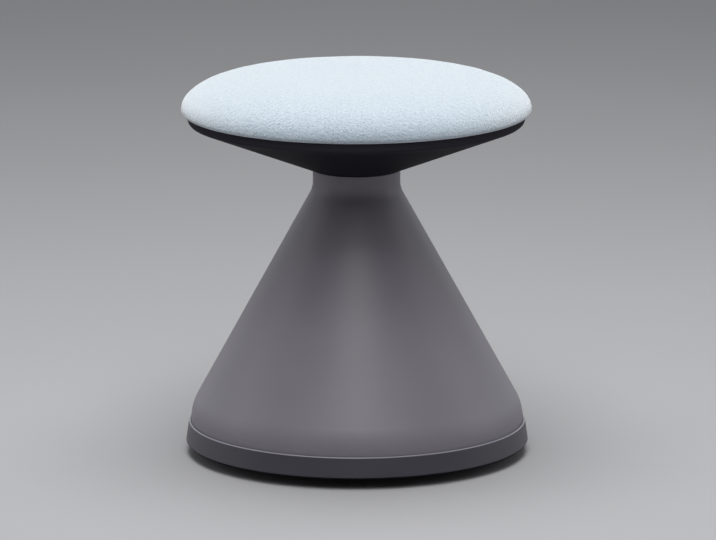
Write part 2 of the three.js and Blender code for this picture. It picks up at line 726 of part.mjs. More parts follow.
// The cushion's side from a bottom, round its drawn-in edge and over its crown, or a line inside it
function cushionLine(inset, bottom) {
  const rollR = SEAT_R - CUSHION_ROLL_W;
  const rise = CUSHION_RISE - inset;
  const line = [];
  for (let i = ROLL_STEPS; i > 0; i--) {
    const turn = ((Math.PI / 2) * i) / ROLL_STEPS;
    const r = rollR + (CUSHION_ROLL_W - inset) * Math.cos(turn);
    line.push(at(r, cushionLevel - (cushionLevel - bottom) * Math.sin(turn)));
  }
  for (let i = 0; i <= CROWN_STEPS; i++) {
    const turn = ((Math.PI / 2) * i) / CROWN_STEPS;
    const r = i < CROWN_STEPS ? (SEAT_R - inset) * Math.cos(turn) ** (2 / CUSHION_SIDE_POWER) : 0;
    line.push(at(r, cushionLevel + rise * Math.sin(turn) ** (2 / CUSHION_CROWN_POWER)));
  }
  return line;
}

// Fabric over the foam, tucked in over the rim of the pan and wrapped round the board to a hem below it
function seatCover() {
  const hemR = wrapR - COVER_HEM_W;
  const insideBottom = coverBottom + COVER_T;
  return turned([
    ...cushionLine(0, coverBottom).reverse(),
    at(wrapR, coverBottom),
    at(wrapR, hemBottom),
    at(hemR, hemBottom),
    at(hemR, hemBottom + COVER_T),
    at(wrapR - COVER_T, hemBottom + COVER_T),
    at(wrapR - COVER_T, insideBottom),
    ...cushionLine(COVER_T, insideBottom),
  ]);
}

const seatFoam = () => turned([at(0, foamBottom), ...cushionLine(COVER_T + GAP, foamBottom)]);

function seatBoard() {
  const barrelHoleR = PLATE_BOLT_R + GAP + TEE_NUT_BARREL_WALL + GAP;
  const nutHoles = spread(PLATE_BOLTS, plateBoltCircleR, Math.PI / 4).flatMap((place) => [
    upright(barrelHoleR, boardBottom - OVERRUN, boardTop + OVERRUN, place),
    upright(TEE_NUT_R + GAP, boardTop - TEE_NUT_FLANGE_T - GAP, boardTop + OVERRUN, place),
  ]);
  const screwHoles = TOWER_ANGLES.map((angle) =>
    upright(PAN_SCREW_R + GAP, boardBottom - OVERRUN, panScrewTop + GAP, onCircle(TOWER_CIRCLE_R, angle)),
  );
  const body = turned([at(0, boardBottom), at(boardR, boardBottom), at(boardR, boardTop), at(0, boardTop)]);
  return cut(body, ...nutHoles, ...screwHoles);
}

const towerTop = boardBottom - GAP;
const panScrewHeadTop = towerTop - TOWER_LEDGE_T - GAP;
const panScrewTop = panScrewHeadTop + PAN_SCREW_L;

// Where a line through the pivot, turned to a slope and lifted, meets the outside of the pan
const wallMeetsY = (slope, lift) =>
  (pivotZ + lift - panOuterZ(0) - pivotY * Math.tan(slope)) / (Math.tan(panSlope) - Math.tan(slope));

// Dished pan with a tower for each screw, each hollow from below, and a slot at the back for the lever
function seatPan() {
  const shell = turned([...panOuter, ...[...panInner].reverse()]);
  const filled = turned([at(0, panBottom), ...panOuter.slice(1), at(0, panRimTop)]);
  const places = TOWER_ANGLES.map((angle) => onCircle(TOWER_CIRCLE_R, angle));
  const towers = places.map((place) => common(upright(TOWER_R, panBottom, towerTop, place), filled));
  const pockets = places.map((place) =>
    upright(TOWER_POCKET_R, panBottom - OVERRUN, towerTop - TOWER_LEDGE_T, place),
  );
  const holes = places.map((place) => upright(PAN_SCREW_R + GAP, panBottom, towerTop + OVERRUN, place));
  const slotX = LEVER_W / 2 + PAN_SLOT_SIDE;
  const leverHalf = LEVER_T / 2 / Math.cos(leverSlope);
  const startY = wallMeetsY(leverSlope, -leverHalf - PAN_WALL / Math.cos(panSlope));
  const endY = wallMeetsY(leverSlope + LEVER_PULL, leverHalf);
  const slot = block(
    [-slotX, startY - PAN_SLOT_END_FIT, panBottom],
    [slotX, endY + PAN_SLOT_END_FIT, boardBottom],
  );
  return cut(join(shell, ...towers), ...pockets, ...holes, slot);
}

// Plate under the board: a flange, a tray with the lift's hub in its floor, and two ears for the pivot
function seatPlate() {
  const boreAt = (z) => tubeOuterAt(z) + GAP;
  const body = turned(
    [
      at(boreAt(hubBottom), hubBottom),
      at(hubR, hubBottom),
      at(hubR, trayBottom),
      at(TRAY_R, trayBottom, TRAY_FILLET),
      at(TRAY_R, seatFlangeBottom),
      at(SEAT_PLATE_R, seatFlangeBottom),
      at(SEAT_PLATE_R, seatPlateTop),
      at(TRAY_R - SEAT_PLATE_WALL, seatPlateTop, TRAY_FILLET),
      at(TRAY_R - SEAT_PLATE_WALL, trayFloor),
      at(hubR, trayFloor),
      at(hubR, hubTop),
      at(boreAt(hubTop), hubTop),
    ],
    MEDIUM_SIDES,
  );
  const earY = pivotY - EAR_W / 2;
  const earTop = pivotZ + EAR_ABOVE_PIVOT;
  const ears = [-1, 1].map((side) => {
    const xs = [side * earInnerX, side * earOuterX].sort((a, b) => a - b);
    return block([xs[0], earY, (trayBottom + trayFloor) / 2], [xs[1], earY + EAR_W, earTop]);
  });
  const holes = spread(PLATE_BOLTS, plateBoltCircleR, Math.PI / 4).map((place) =>
    upright(PLATE_BOLT_R + GAP, seatFlangeBottom - OVERRUN, seatPlateTop + OVERRUN, place),
  );
  const slotX = LEVER_W / 2 + TRAY_SLOT_SIDE;
  const slotMiddle = leverZ(TRAY_R);
  const slot = block(
    [-slotX, TRAY_R - SEAT_PLATE_WALL - OVERRUN, slotMiddle - TRAY_SLOT_H / 2],
    [slotX, TRAY_R + OVERRUN, slotMiddle + TRAY_SLOT_H / 2],
  );
  return cut(join(body, ...ears), ...holes, slot, crossBar(PIVOT_R + GAP, 2 * TRAY_R, pivotY, pivotZ));
}

// A sliding cover tube, its flange on the pan and its top under the tray
const liftSleeve = () =>
  turned(
    [
      at(sleeveR - SLEEVE_WALL, sleeveBottom),
      at(sleeveR, sleeveBottom),
      at(sleeveR, sleeveFlangeBottom),
      at(sleeveR + SLEEVE_FLANGE_W, sleeveFlangeBottom),
      at(sleeveR + SLEEVE_FLANGE_W, sleeveFlangeBottom + SLEEVE_FLANGE_T),
      at(sleeveR, sleeveFlangeBottom + SLEEVE_FLANGE_T),
      at(sleeveR, trayBottom - GAP),
      at(sleeveR - SLEEVE_WALL, trayBottom - GAP),
    ],
    MEDIUM_SIDES,
  );

// The gas cylinder's tube, with both ends turned in and its top tapered into the hub
const pressureTube = () =>
  turned(
    [
      at(tubeLipR, tubeBottom),
      at(TUBE_R, tubeBottom),
      at(TUBE_R, hubBottom),
      at(tubeOuterAt(tubeTop), tubeTop),
      at(tubeLipR, tubeTop),
      at(tubeLipR, tubeTop - TUBE_WALL),
      at(tubeOuterAt(tubeTop) - TUBE_WALL, tubeTop - TUBE_WALL),
      at(tubeBoreR, hubBottom),
      at(tubeBoreR, tubeBottom + TUBE_WALL),
      at(tubeLipR, tubeBottom + TUBE_WALL),
    ],
    MEDIUM_SIDES,
  );

function liftPieces() {
  const valveBottom = valveTop - VALVE_H;
  const endBodyR = tubeBoreR - GAP;
  return [
    piece("lift_sleeve", liftSleeve(), BLACK_PLASTIC),
    piece("pressure_tube", pressureTube(), BLACK_STEEL),
    piece("rod_seal", ring(ROD_R + GAP, endBodyR, sealBottom, sealBottom + ROD_SEAL_H), RUBBER),
    piece("rod_guide", ring(ROD_R + RUN_FIT, endBodyR, guideBottom, guideTop), ZINC),
    piece("valve_body", ring(VALVE_PIN_R + GAP, valveR, valveBottom, valveTop), ZINC),
  ];
}

function plateFasteners() {
  const places = spread(PLATE_BOLTS, plateBoltCircleR, Math.PI / 4);
  const headTop = seatFlangeBottom - GAP;
  const nutFlangeBottom = boardTop - TEE_NUT_FLANGE_T;
  const nutBottom = seatPlateTop + TEE_NUT_ABOVE_PLATE;
  const boreR = PLATE_BOLT_R + GAP;
  const bolts = places.map((place, i) => {
    const head = upright(hexR(PLATE_BOLT_FLATS), headTop - PLATE_BOLT_HEAD_H, headTop, place, HEX_SIDES);
    const shank = upright(PLATE_BOLT_R, headTop - PLATE_BOLT_HEAD_H / 2, nutFlangeBottom, place);
    return piece("plate_bolt_" + (i + 1), join(head, shank), ZINC);
  });
  const nuts = places.map((place, i) => {
    const outline = [
      at(boreR, nutBottom),
      at(boreR + TEE_NUT_BARREL_WALL, nutBottom),
      at(boreR + TEE_NUT_BARREL_WALL, nutFlangeBottom),
      at(TEE_NUT_R, nutFlangeBottom),
      at(TEE_NUT_R, boardTop),
      at(boreR, boardTop),
    ];
    return piece("tee_nut_" + (i + 1), turned(outline, SMALL_SIDES).translate(place.x, place.y, 0), ZINC);
  });
  return [bolts, nuts].flat();
}

const panScrews = () =>
  TOWER_ANGLES.map((angle, i) => {
    const headBottom = panScrewHeadTop - PAN_SCREW_HEAD_H;
    const place = onCircle(TOWER_CIRCLE_R, angle);
    const shape = screwUp(place, headBottom, PAN_SCREW_HEAD_R, PAN_SCREW_HEAD_H, PAN_SCREW_R, PAN_SCREW_L);
    return piece("pan_screw_" + (i + 1), shape, BLACK_STEEL);
  });

// Pivot pin along X with a head at one end and a push-on clip at the other
function pivotPieces() {
  const reach = earOuterX + GAP;
  const length = 2 * (reach + PIVOT_HEAD_T + GAP + PIVOT_END);
  const headMiddle = -(reach + PIVOT_HEAD_T / 2);
  const pin = crossBar(PIVOT_R, length, pivotY, pivotZ);
  const head = crossBar(PIVOT_HEAD_R, PIVOT_HEAD_T, pivotY, pivotZ).translate(headMiddle, 0, 0);
  const clipBlank = crossBar(PIVOT_HEAD_R, PIVOT_HEAD_T, pivotY, pivotZ).translate(-headMiddle, 0, 0);
  const clip = cut(clipBlank, crossBar(PIVOT_R + GAP, 2 * length, pivotY, pivotZ));
  return [piece("lever_pivot_pin", join(pin, head), ZINC), piece("pivot_clip", clip, BLACK_STEEL)];
}

// A flat bar along a bent line in the middle plane, standing half its width to each side of it
function bar(line, width, thickness) {
  const outline = [...moved(line, thickness / 2), ...moved(line, -thickness / 2).reverse()];
  const shape = new THREE.Shape(outline.map((corner) => new THREE.Vector2(corner.r, corner.z)));
  const drawn = new THREE.ExtrudeGeometry(shape, { depth: width, bevelEnabled: false });
  return drawn
    .translate(0, 0, -width / 2)
    .rotateY(Math.PI / 2)
    .rotateX(Math.PI / 2);
}

function releaseLever() {
  const line = [
    at(-LEVER_PAST_VALVE, leverTipZ),
    at(LEVER_FLAT, leverTipZ),
    at(pivotY, pivotZ),
    at(LEVER_END_Y, leverEndZ),
  ];
  const flat = bar(line, LEVER_W, LEVER_T);
  return cut(
    join(flat, crossBar(LEVER_HUB_R, LEVER_W, pivotY, pivotZ)),
    crossBar(PIVOT_R + GAP, 2 * LEVER_W, pivotY, pivotZ),
  );
}

// Moulded grip pushed over the end of the lever, wider towards the hand
function leverPaddle() {
  const outline = rounded([
    at(-GRIP_ROOT_W / 2, 0, GRIP_FILLET / 2),
    at(GRIP_ROOT_W / 2, 0, GRIP_FILLET / 2),
    at(GRIP_W / 2, GRIP_L, GRIP_FILLET),
    at(-GRIP_W / 2, GRIP_L, GRIP_FILLET),
  ]);
  const body = new THREE.ExtrudeGeometry(new THREE.Shape(outline), { depth: GRIP_T, bevelEnabled: false });
  const pocketX = LEVER_W / 2 + GAP;
  const pocketZ = LEVER_T / 2 + GAP;
  const pocketEnd = GRIP_HELD / Math.cos(leverSlope) + GAP;
  const pocket = block([-pocketX, -OVERRUN, -pocketZ], [pocketX, pocketEnd, pocketZ]);
  const grip = cut(body.translate(0, 0, -GRIP_T / 2), pocket);
  const place = new THREE.Matrix4().makeTranslation(0, gripStartY, leverZ(gripStartY));
  return geometryOf(grip).applyMatrix4(place.multiply(new THREE.Matrix4().makeRotationX(leverSlope)));
}

const lowerRace = ring(ROD_FOOT_R + RUN_FIT, RACE_R, lowerRaceBottom, lowerRaceBottom + RACE_T);
const base = assembly(
  piece("foot_sole", footSole(), RUBBER),
  piece("base_plate", basePlate(), BLACK_STEEL),
  piece("ballast_ring", ballastRing(), CAST_IRON),
  piece("base_rim", baseRim(), DARK_GREY_PLASTIC),
  piece("cone_shell", coneShell(), GREY_PLASTIC),
  piece("neck_bush", neckBush(), NYLON),
  piece("column_socket", columnSocket(), BLACK_STEEL),
  piece("column_tube", columnTube(), BLACK_STEEL),
  piece("column_bush", columnBush(), NYLON),
  piece("end_plate", endPlate(), ZINC),
  piece("bearing_race_lower", lowerRace, ZINC),
  baseFasteners(),
);

const rotor = assembly(rotorPieces());

const ballRing = assembly(piece("bearing_ball_cage", ballCage(), POLISHED_STEEL));

const seat = assembly(
  piece("seat_cover", seatCover(), FABRIC),
  piece("seat_foam", seatFoam(), FOAM),
  piece("seat_board", seatBoard(), PLYWOOD),
  piece("seat_pan", seatPan(), BLACK_PLASTIC),
  piece("seat_plate", seatPlate(), BLACK_STEEL),
  liftPieces(),
  plateFasteners(),
  panScrews(),
  pivotPieces(),
);

const lever = assembly(
  piece("release_lever", releaseLever(), ZINC),
  piece("lever_paddle", leverPaddle(), BLACK_PLASTIC),
);

const valvePin = upright(VALVE_PIN_R, valvePinTop - VALVE_PIN_L, valvePinTop);
const valve = assembly(piece("valve_pin", valvePin, POLISHED_STEEL));

const stool = assembly(base, rotor, ballRing, seat, lever, valve);
stool.name = "wobble_stool";

export default stool;
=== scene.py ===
# %% [markdown]
# A wobble stool, dressed over its construction model. The stool is a round fabric cushion on a dished
# plastic pan, a grey plastic cone that hides a gas lift, a darker ring round the foot of the cone, and a
# domed rubber sole that lets the whole stool rock. The construction model already has every piece at its
# full size, so no piece is moved or scaled here. This script lays fine surfaces over it and gives each
# piece the finish of its material. Lengths are in metres, the floor is at z = 0, and the front of the
# stool faces -Y.

# %% Load the construction model
import json
import math

import bmesh
import bpy
import numpy as np
from mathutils import Matrix, Vector
from mathutils.kdtree import KDTree


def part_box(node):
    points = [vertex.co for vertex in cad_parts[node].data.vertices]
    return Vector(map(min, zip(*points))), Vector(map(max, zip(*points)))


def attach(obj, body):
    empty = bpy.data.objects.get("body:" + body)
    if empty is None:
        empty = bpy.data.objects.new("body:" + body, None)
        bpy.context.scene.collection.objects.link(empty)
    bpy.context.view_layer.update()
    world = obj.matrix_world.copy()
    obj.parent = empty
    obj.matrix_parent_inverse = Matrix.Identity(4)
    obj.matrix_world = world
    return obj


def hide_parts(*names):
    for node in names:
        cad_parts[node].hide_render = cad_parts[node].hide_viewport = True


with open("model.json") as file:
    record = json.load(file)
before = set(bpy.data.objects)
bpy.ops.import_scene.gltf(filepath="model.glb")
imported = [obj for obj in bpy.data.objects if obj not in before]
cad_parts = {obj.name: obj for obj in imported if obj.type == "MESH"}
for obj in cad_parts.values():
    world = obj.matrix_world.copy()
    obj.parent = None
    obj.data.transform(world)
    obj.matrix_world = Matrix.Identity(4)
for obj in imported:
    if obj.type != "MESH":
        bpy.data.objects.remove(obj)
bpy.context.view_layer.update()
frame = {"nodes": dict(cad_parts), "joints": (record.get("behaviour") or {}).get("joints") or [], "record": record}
bodies = frame["record"]["behaviour"]["bodies"]
body_of = {node: body for body, members in bodies.items() for node in members}
slot_of = {row["node"]: row["material_slot"] for row in frame["record"]["subparts"]}
MM = 0.001

# %% [markdown]
# The camera comes first, because every later choice is judged through it. A view from several metres away
# has a long lens: edges that are parallel stay almost parallel. The ellipses of the seat and the foot give
# the height of the camera: a round edge whose ellipse is half as open is seen from about half as high. Here
# the camera is at the eye height of somebody standing, and looks down by about 12 degrees. The film-like
# view that Blender starts with turns pale cloth grey, so the plain standard view is set.

# %% Camera
CAMERA_PLACE = Vector((0, -6.5076, 1.5746))
CAMERA_PITCH = math.radians(11.849)
CAMERA_ROLL = math.radians(0.117)
LENS_MM = 294.6
CAMERA_SHIFT_X = 0.0018

camera_data = bpy.data.cameras.new("standing_view")
camera_data.lens = LENS_MM
camera_data.shift_x = CAMERA_SHIFT_X
camera = bpy.data.objects.new("standing_view", camera_data)
level = Matrix.Rotation(math.pi / 2 - CAMERA_PITCH, 4, "X")
camera.matrix_world = Matrix.Translation(CAMERA_PLACE) @ level @ Matrix.Rotation(-CAMERA_ROLL, 4, "Z")
bpy.context.scene.collection.objects.link(camera)
bpy.context.scene.camera = camera
bpy.context.scene.view_settings.view_transform = "Standard"
print("camera:", round(CAMERA_PLACE.length, 2), "m from the middle of the foot")

# %% [markdown]
# Finishes and shapes are both built as node trees, and long trees are hard to read as lists of links. One
# small class wraps a socket, so that a formula such as 1 - mask * 0.4 adds its own Math nodes. Another
# wraps the tree. Its method node adds any other node, with its settings first and then its inputs, and
# the rest are shorter ways to call it.

# %% Sockets and trees
class Socket:
    """An output of a node, on which Python's operators add Math nodes."""

    def __init__(self, tree, end):
        self.tree = tree
        self.end = end

    def maths(self, operation, *values):
        inputs = dict(enumerate(values))
        return self.tree.node("ShaderNodeMath", {"operation": operation}, inputs)

    def __add__(self, other):
        return self.maths("ADD", self, other)

    def __sub__(self, other):
        return self.maths("SUBTRACT", self, other)

    def __rsub__(self, other):
        return self.maths("SUBTRACT", other, self)

    def __mul__(self, other):
        return self.maths("MULTIPLY", self, other)

    def __truediv__(self, other):
        return self.maths("DIVIDE", self, other)

    def __rtruediv__(self, other):
        return self.maths("DIVIDE", other, self)

    def __abs__(self):
        return self.maths("ABSOLUTE", self)

    __radd__ = __add__
    __rmul__ = __mul__


class Tree:
    """A node tree of a material or of a Geometry Nodes modifier."""

    def __init__(self, data):
        self.data = data

    def feed(self, socket, value):
        if isinstance(value, Socket):
            self.data.links.new(value.end, socket)
        else:
            socket.default_value = value

    def node(self, kind, settings=None, inputs=None, output=0):
        made = self.data.nodes.new(kind)
        for name, value in (settings or {}).items():
            setattr(made, name, value)
        for name, value in (inputs or {}).items():
            self.feed(made.inputs[name], value)
        return Socket(self, made.outputs[output])

    def parts(self, vector):
        made = self.node("ShaderNodeSeparateXYZ", {}, {"Vector": vector}).end.node
        return [Socket(self, end) for end in made.outputs]

    def scaled(self, vector, sizes):
        return self.node("ShaderNodeVectorMath", {"operation": "MULTIPLY"}, {0: vector, 1: sizes})

    def mix(self, factor, a, b):
        sockets = {0: factor, 6: a, 7: b}
        return self.node("ShaderNodeMix", {"data_type": "RGBA"}, sockets, 2)

    def noise(self, place, size, detail=2.0, roughness=0.5):
        """Soft random patches of a size in metres, from 0 to 1."""
        inputs = {"Vector": place, "Scale": 1 / size, "Detail": detail, "Roughness": roughness}
        return self.node("ShaderNodeTexNoise", {}, inputs, "Fac")

    def between(self, value, low, high):
        """0 where the value is under low, 1 where it is over high, and smooth between them."""
        inputs = {"Value": value, "From Min": low, "From Max": high}
        settings = {"interpolation_type": "SMOOTHSTEP"}
        return self.node("ShaderNodeMapRange", settings, inputs)


print("operators:", ", ".join(name for name in vars(Socket) if name.startswith("__r")))

# %% [markdown]
# Every finish starts from the same shader. What is the same all over a surface, such as sheen, is set on
# the shader itself. What changes over the surface, such as colour, comes from the tree. Patterns are
# placed by object coordinates, which are metres here, so a grain of 0.5 mm is written as that.

# %% Helpers for finishes
def colour(red, green, blue):
    return (red, green, blue, 1.0)


finishes = {}


def new_finish(name, settings):
    """Starts a finish and returns its tree, its shader and the place of a point in metres."""
    made = bpy.data.materials.new(name)
    made.use_nodes = True
    tree = Tree(made.node_tree)
    shader = made.node_tree.nodes["Principled BSDF"]
    for socket, value in settings.items():
        shader.inputs[socket].default_value = value
    finishes[name] = made
    return tree, shader, tree.node("ShaderNodeTexCoord", output="Object")


def dress(tree, shader, tint, roughness, height, depth, strength=1.0):
    """Feeds the shader its colour, its roughness, and a relief: a height from 0 to 1 times a depth."""
    relief = {"Height": height, "Distance": depth, "Strength": strength}
    normal = tree.node("ShaderNodeBump", {}, relief, "Normal")
    for name, value in {"Base Color": tint, "Roughness": roughness, "Normal": normal}.items():
        tree.feed(shader.inputs[name], value)


# %% [markdown]
# Moulded plastic isn't a plain colour. The mould is spark-eroded, which leaves a fine grain of about half
# a millimetre, and the plastic cools unevenly, which leaves broad patches that are a little glossier.
# Pan, cone, rim, sleeve and grip differ only in colour, gloss and grain, so one function makes them all.
# The foot is scuffed in streaks, as feet and vacuum cleaners would leave it. A thin band on the ring's
# lip is a painted highlight, and the upright rim of the pan is a paler band of painted reflection.

# %% Moulded plastics
GRAIN = 0.5 * MM
GRAIN_DEPTH = 0.02 * MM
PATCH_SIZE = 60 * MM
STREAK_SIZE = 9 * MM


def moulded_plastic(name, base, roughness, specular, grain=GRAIN, depth=GRAIN_DEPTH, scuff_top=0.0, painted_band=None):
    tree, shader, place = new_finish(name, {"Specular IOR Level": specular})
    patches = tree.noise(place, PATCH_SIZE)
    fine = tree.noise(place, grain, 3.0)
    lighter = colour(*(min(1.0, 1.08 * part + 0.002) for part in base))
    darker = colour(*(0.93 * part for part in base))
    tint = tree.mix(patches, darker, lighter)
    gloss = roughness - 0.04 + 0.08 * patches + 0.06 * fine
    if scuff_top:
        height = tree.parts(place)[2]
        streaks = tree.noise(tree.scaled(place, (1.0, 1.0, 6.0)), STREAK_SIZE, 4.0, 0.7)
        worn = tree.between(streaks, 0.56, 0.74) * (1 - tree.between(height, 0.2 * scuff_top, scuff_top))
        pale = colour(*(0.75 * part + 0.06 for part in base))
        tint = tree.mix(0.5 * worn, tint, pale)
        gloss = gloss + 0.15 * worn
    # Paler between two heights: the ring lip's painted highlight and the pan rim's painted reflection.
    if painted_band:
        low, high, band_tint = painted_band
        tint = tree.mix(tree.between(tree.parts(place)[2], low, high), tint, colour(*band_tint))
    dress(tree, shader, tint, gloss, fine, depth, 0.5)


CONE_SCUFF_TOP = 75 * MM
RIM_SCUFF_TOP = 36 * MM
PAN_GRAIN = 0.4 * MM
PAN_GRAIN_DEPTH = 0.012 * MM
GRIP_GRAIN = 0.7 * MM
GRIP_GRAIN_DEPTH = 0.05 * MM
LIP_HIGHLIGHT_GREY = (0.205, 0.200, 0.234)
LIP_HIGHLIGHT_W = 1.3 * MM
RIM_REFLECTION_BLACK = (0.0320, 0.0300, 0.0385)
RIM_REFLECTION_W = (6 * MM, 18 * MM)
rim_top, pan_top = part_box("base_rim")[1].z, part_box("seat_pan")[1].z
# Painted highlight: a thin band along the top of the ring's lip is paler than the ring.
painted_lip_highlight = (rim_top - LIP_HIGHLIGHT_W, rim_top - LIP_HIGHLIGHT_W / 2, LIP_HIGHLIGHT_GREY)
# Painted reflection: a band of the pan's upright rim just below the cloth is paler than the dish.
painted_rim_reflection = (pan_top - RIM_REFLECTION_W[1], pan_top - RIM_REFLECTION_W[0], RIM_REFLECTION_BLACK)
CONE_GREY = (0.167, 0.155, 0.182)
RIM_GREY = (0.044, 0.041, 0.054)
PAN_BLACK = (0.0122, 0.0114, 0.0150)
moulded_plastic("cone_plastic", CONE_GREY, 0.46, 0.52, scuff_top=CONE_SCUFF_TOP)
moulded_plastic("rim_plastic", RIM_GREY, 0.42, 0.47, scuff_top=RIM_SCUFF_TOP, painted_band=painted_lip_highlight)
moulded_plastic("pan_plastic", PAN_BLACK, 0.6, 0.02, PAN_GRAIN, PAN_GRAIN_DEPTH, painted_band=painted_rim_reflection)
moulded_plastic("sleeve_plastic", PAN_BLACK, 0.38, 0.35)
moulded_plastic("grip_plastic", PAN_BLACK, 0.5, 0.4, GRIP_GRAIN, GRIP_GRAIN_DEPTH)
moulded_plastic("bush_nylon", (0.014, 0.014, 0.016), 0.48, 0.4)
print("plastics:", ", ".join(finishes))

# %% [markdown]
# The cover is a pale blue wool-like cloth. Its yarn is spun from fibres of several shades, so from near it
# is speckled, and from a step away it looks almost even.
# The weave follows the cloth and not the room, so its place is stored on the cushion's own points: how far
# along the cloth a point is from the middle of the seat. Each yarn rises where it passes over another.
# Round the cushion's side the cloth is painted a little darker: painted shade where it turns from the light.

# %% Seat cloth
YARN_PITCH = 0.95 * MM
DRIFT_SIZE = 14 * MM
DRIFT_W = 0.7 * MM
SHADE_SIZE = 35 * MM
NUB_SIZE = 2.3 * MM
NUB_RELIEF = 1.2 * MM
CLUMP_SIZE = 5 * MM
SLUB_W = 1.5 * MM
SIDE_SHADE_REACH = (170 * MM, 205 * MM)
CLOTH_PALE = colour(0.50, 0.588, 0.655)
CLOTH_LIGHT = colour(0.66, 0.730, 0.775)
CLOTH_DARK = colour(0.20, 0.270, 0.360)


def seat_cloth():
    settings = {
        "Specular IOR Level": 0.15,
        "Sheen Weight": 1.0,
        "Sheen Roughness": 0.6,
        "Sheen Tint": colour(0.97, 0.99, 1.0),
    }
    tree, shader, _ = new_finish("seat_fabric", settings)
    place = tree.node("ShaderNodeAttribute", {"attribute_name": "cloth_place"}, output="Vector")
    drift = tree.node("ShaderNodeTexNoise", {}, {"Vector": place, "Scale": 1 / DRIFT_SIZE}, "Color")
    shift = tree.scaled(drift, (DRIFT_W, DRIFT_W, 0.0))
    pulled = tree.node("ShaderNodeVectorMath", {"operation": "ADD"}, {0: place, 1: shift})
    across, along, _ = tree.parts(pulled)
    turns = [part * (math.pi / YARN_PITCH) for part in (across, along)]
    warp_round, weft_round = (abs(turn.maths("SINE", turn)) for turn in turns)
    warp_side, weft_side = (turn.maths("COSINE", turn) for turn in turns)
    over = 0.5 + 0.5 * warp_side * weft_side
    weave = warp_round * over + weft_round * (1 - over)
    warp_slubs = tree.noise(tree.scaled(pulled, (1.0, 0.3, 1.0)), SLUB_W, 2.0, 0.6)
    weft_slubs = tree.noise(tree.scaled(pulled, (0.3, 1.0, 1.0)), SLUB_W, 2.0, 0.6)
    slubs = warp_slubs * over + weft_slubs * (1 - over)
    nubs = tree.between(tree.noise(place, NUB_SIZE, 2.0, 0.65), 0.3, 0.7)
    clumps = tree.between(tree.noise(place, CLUMP_SIZE, 2.0, 0.6), 0.3, 0.7)
    broad = tree.noise(place, SHADE_SIZE)
    reach = tree.node("ShaderNodeVectorMath", {"operation": "LENGTH"}, {0: place}, 1)
    # Painted shade round the cushion's side, along the cloth from the middle.
    painted_side_shade = tree.between(reach, *SIDE_SHADE_REACH)
    tint = tree.mix(tree.between(slubs, 0.5, 0.68), CLOTH_PALE, CLOTH_LIGHT)
    # Painted shade: the cloth is darker in the hollows between yarns and where the nubs are low.
    painted_hollow_shade = (1 - weave) * 0.25 + tree.between(nubs, 0.3, 0.0) * 0.6
    dark_slubs_and_hollow_shade = tree.between(slubs, 0.46, 0.3) * 0.75 + painted_hollow_shade
    tint = tree.mix(dark_slubs_and_hollow_shade, tint, CLOTH_DARK)
    tint = tree.mix(0.06 * broad + 0.2 * clumps + 0.12 * painted_side_shade, tint, CLOTH_DARK)
    height = nubs * 0.5 + clumps * 0.3 + slubs * 0.15 + weave * 0.05
    dress(tree, shader, tint, 0.9, height, NUB_RELIEF)


seat_cloth()
print("cloth:", round(1 / YARN_PITCH * MM * 10, 1), "yarns to the centimetre")

# %% [markdown]
# Rubber is dull and picks up dust, most of all where it meets the floor. Cast iron is rough from its sand
# mould. Steel parts are powder coated, zinc plated or ground bright. Plywood shows its layers at its edge
# and a long grain on its face. Each is a short tree with a pattern at the size of the real one.

# %% Rubber, metals and wood
RUBBER_BLACK = colour(0.012, 0.012, 0.013)
RUBBER_GRAIN = 0.6 * MM
RUBBER_GRAIN_DEPTH = 0.05 * MM
DUST_SIZE = 12 * MM
DUSTY_TOP = 6 * MM
SAND_SIZE = 1.6 * MM
SAND_DEPTH = 0.35 * MM
RUST_SIZE = 22 * MM
PEEL_SIZE = 1.1 * MM
PEEL_DEPTH = 0.06 * MM
RUBBED_SIZE = 18 * MM
BLOOM_SIZE = 7 * MM
ZINC_SCRATCH = 0.5 * MM
POLISHED_SCRATCH = 0.3 * MM
SCRATCH_DEPTH = 0.01 * MM
WOOD_GRAIN = 2.2 * MM
WOOD_GRAIN_DEPTH = 0.15 * MM
PLY_T = 3.2 * MM


def rubber(name):
    tree, shader, place = new_finish(name, {"Specular IOR Level": 0.3})
    fine = tree.noise(place, RUBBER_GRAIN, 3.0)
    dust = tree.between(tree.noise(place, DUST_SIZE, 4.0, 0.7), 0.45, 0.75)
    dust = dust * (1 - tree.between(tree.parts(place)[2], 0.0, DUSTY_TOP))
    tint = tree.mix(0.25 * dust, RUBBER_BLACK, colour(0.09, 0.088, 0.085))
    dress(tree, shader, tint, 0.72 + 0.12 * fine + 0.1 * dust, fine, RUBBER_GRAIN_DEPTH, 0.6)


def cast_iron():
    tree, shader, place = new_finish("ballast_iron", {"Metallic": 0.6})
    sand = tree.noise(place, SAND_SIZE, 4.0, 0.65)
    rust = tree.between(tree.noise(place, RUST_SIZE, 4.0, 0.7), 0.58, 0.8)
    tint = tree.mix(rust, colour(0.05, 0.05, 0.055), colour(0.13, 0.06, 0.03))
    dress(tree, shader, tint, 0.6 + 0.25 * sand, sand, SAND_DEPTH, 0.8)


def coated_steel():
    tree, shader, place = new_finish("black_steel", {"Specular IOR Level": 0.45})
    peel = tree.noise(place, PEEL_SIZE, 2.0)
    rubbed = tree.between(tree.noise(place, RUBBED_SIZE, 5.0, 0.75), 0.66, 0.8)
    tint = tree.mix(rubbed, colour(0.014, 0.014, 0.016), colour(0.05, 0.05, 0.052))
    dress(tree, shader, tint, 0.4 + 0.15 * peel, peel, PEEL_DEPTH, 0.6)


def bright_steel(name, base, tinted, roughness, scratch_size):
    tree, shader, place = new_finish(name, {"Metallic": 1.0})
    bloom = tree.noise(place, BLOOM_SIZE, 4.0, 0.6)
    scratches = tree.noise(tree.scaled(place, (1.0, 1.0, 12.0)), scratch_size, 3.0, 0.6)
    tint = tree.mix(bloom, colour(*base), colour(*tinted))
    dress(tree, shader, tint, roughness + 0.14 * scratches + 0.08 * bloom, scratches, SCRATCH_DEPTH, 0.5)


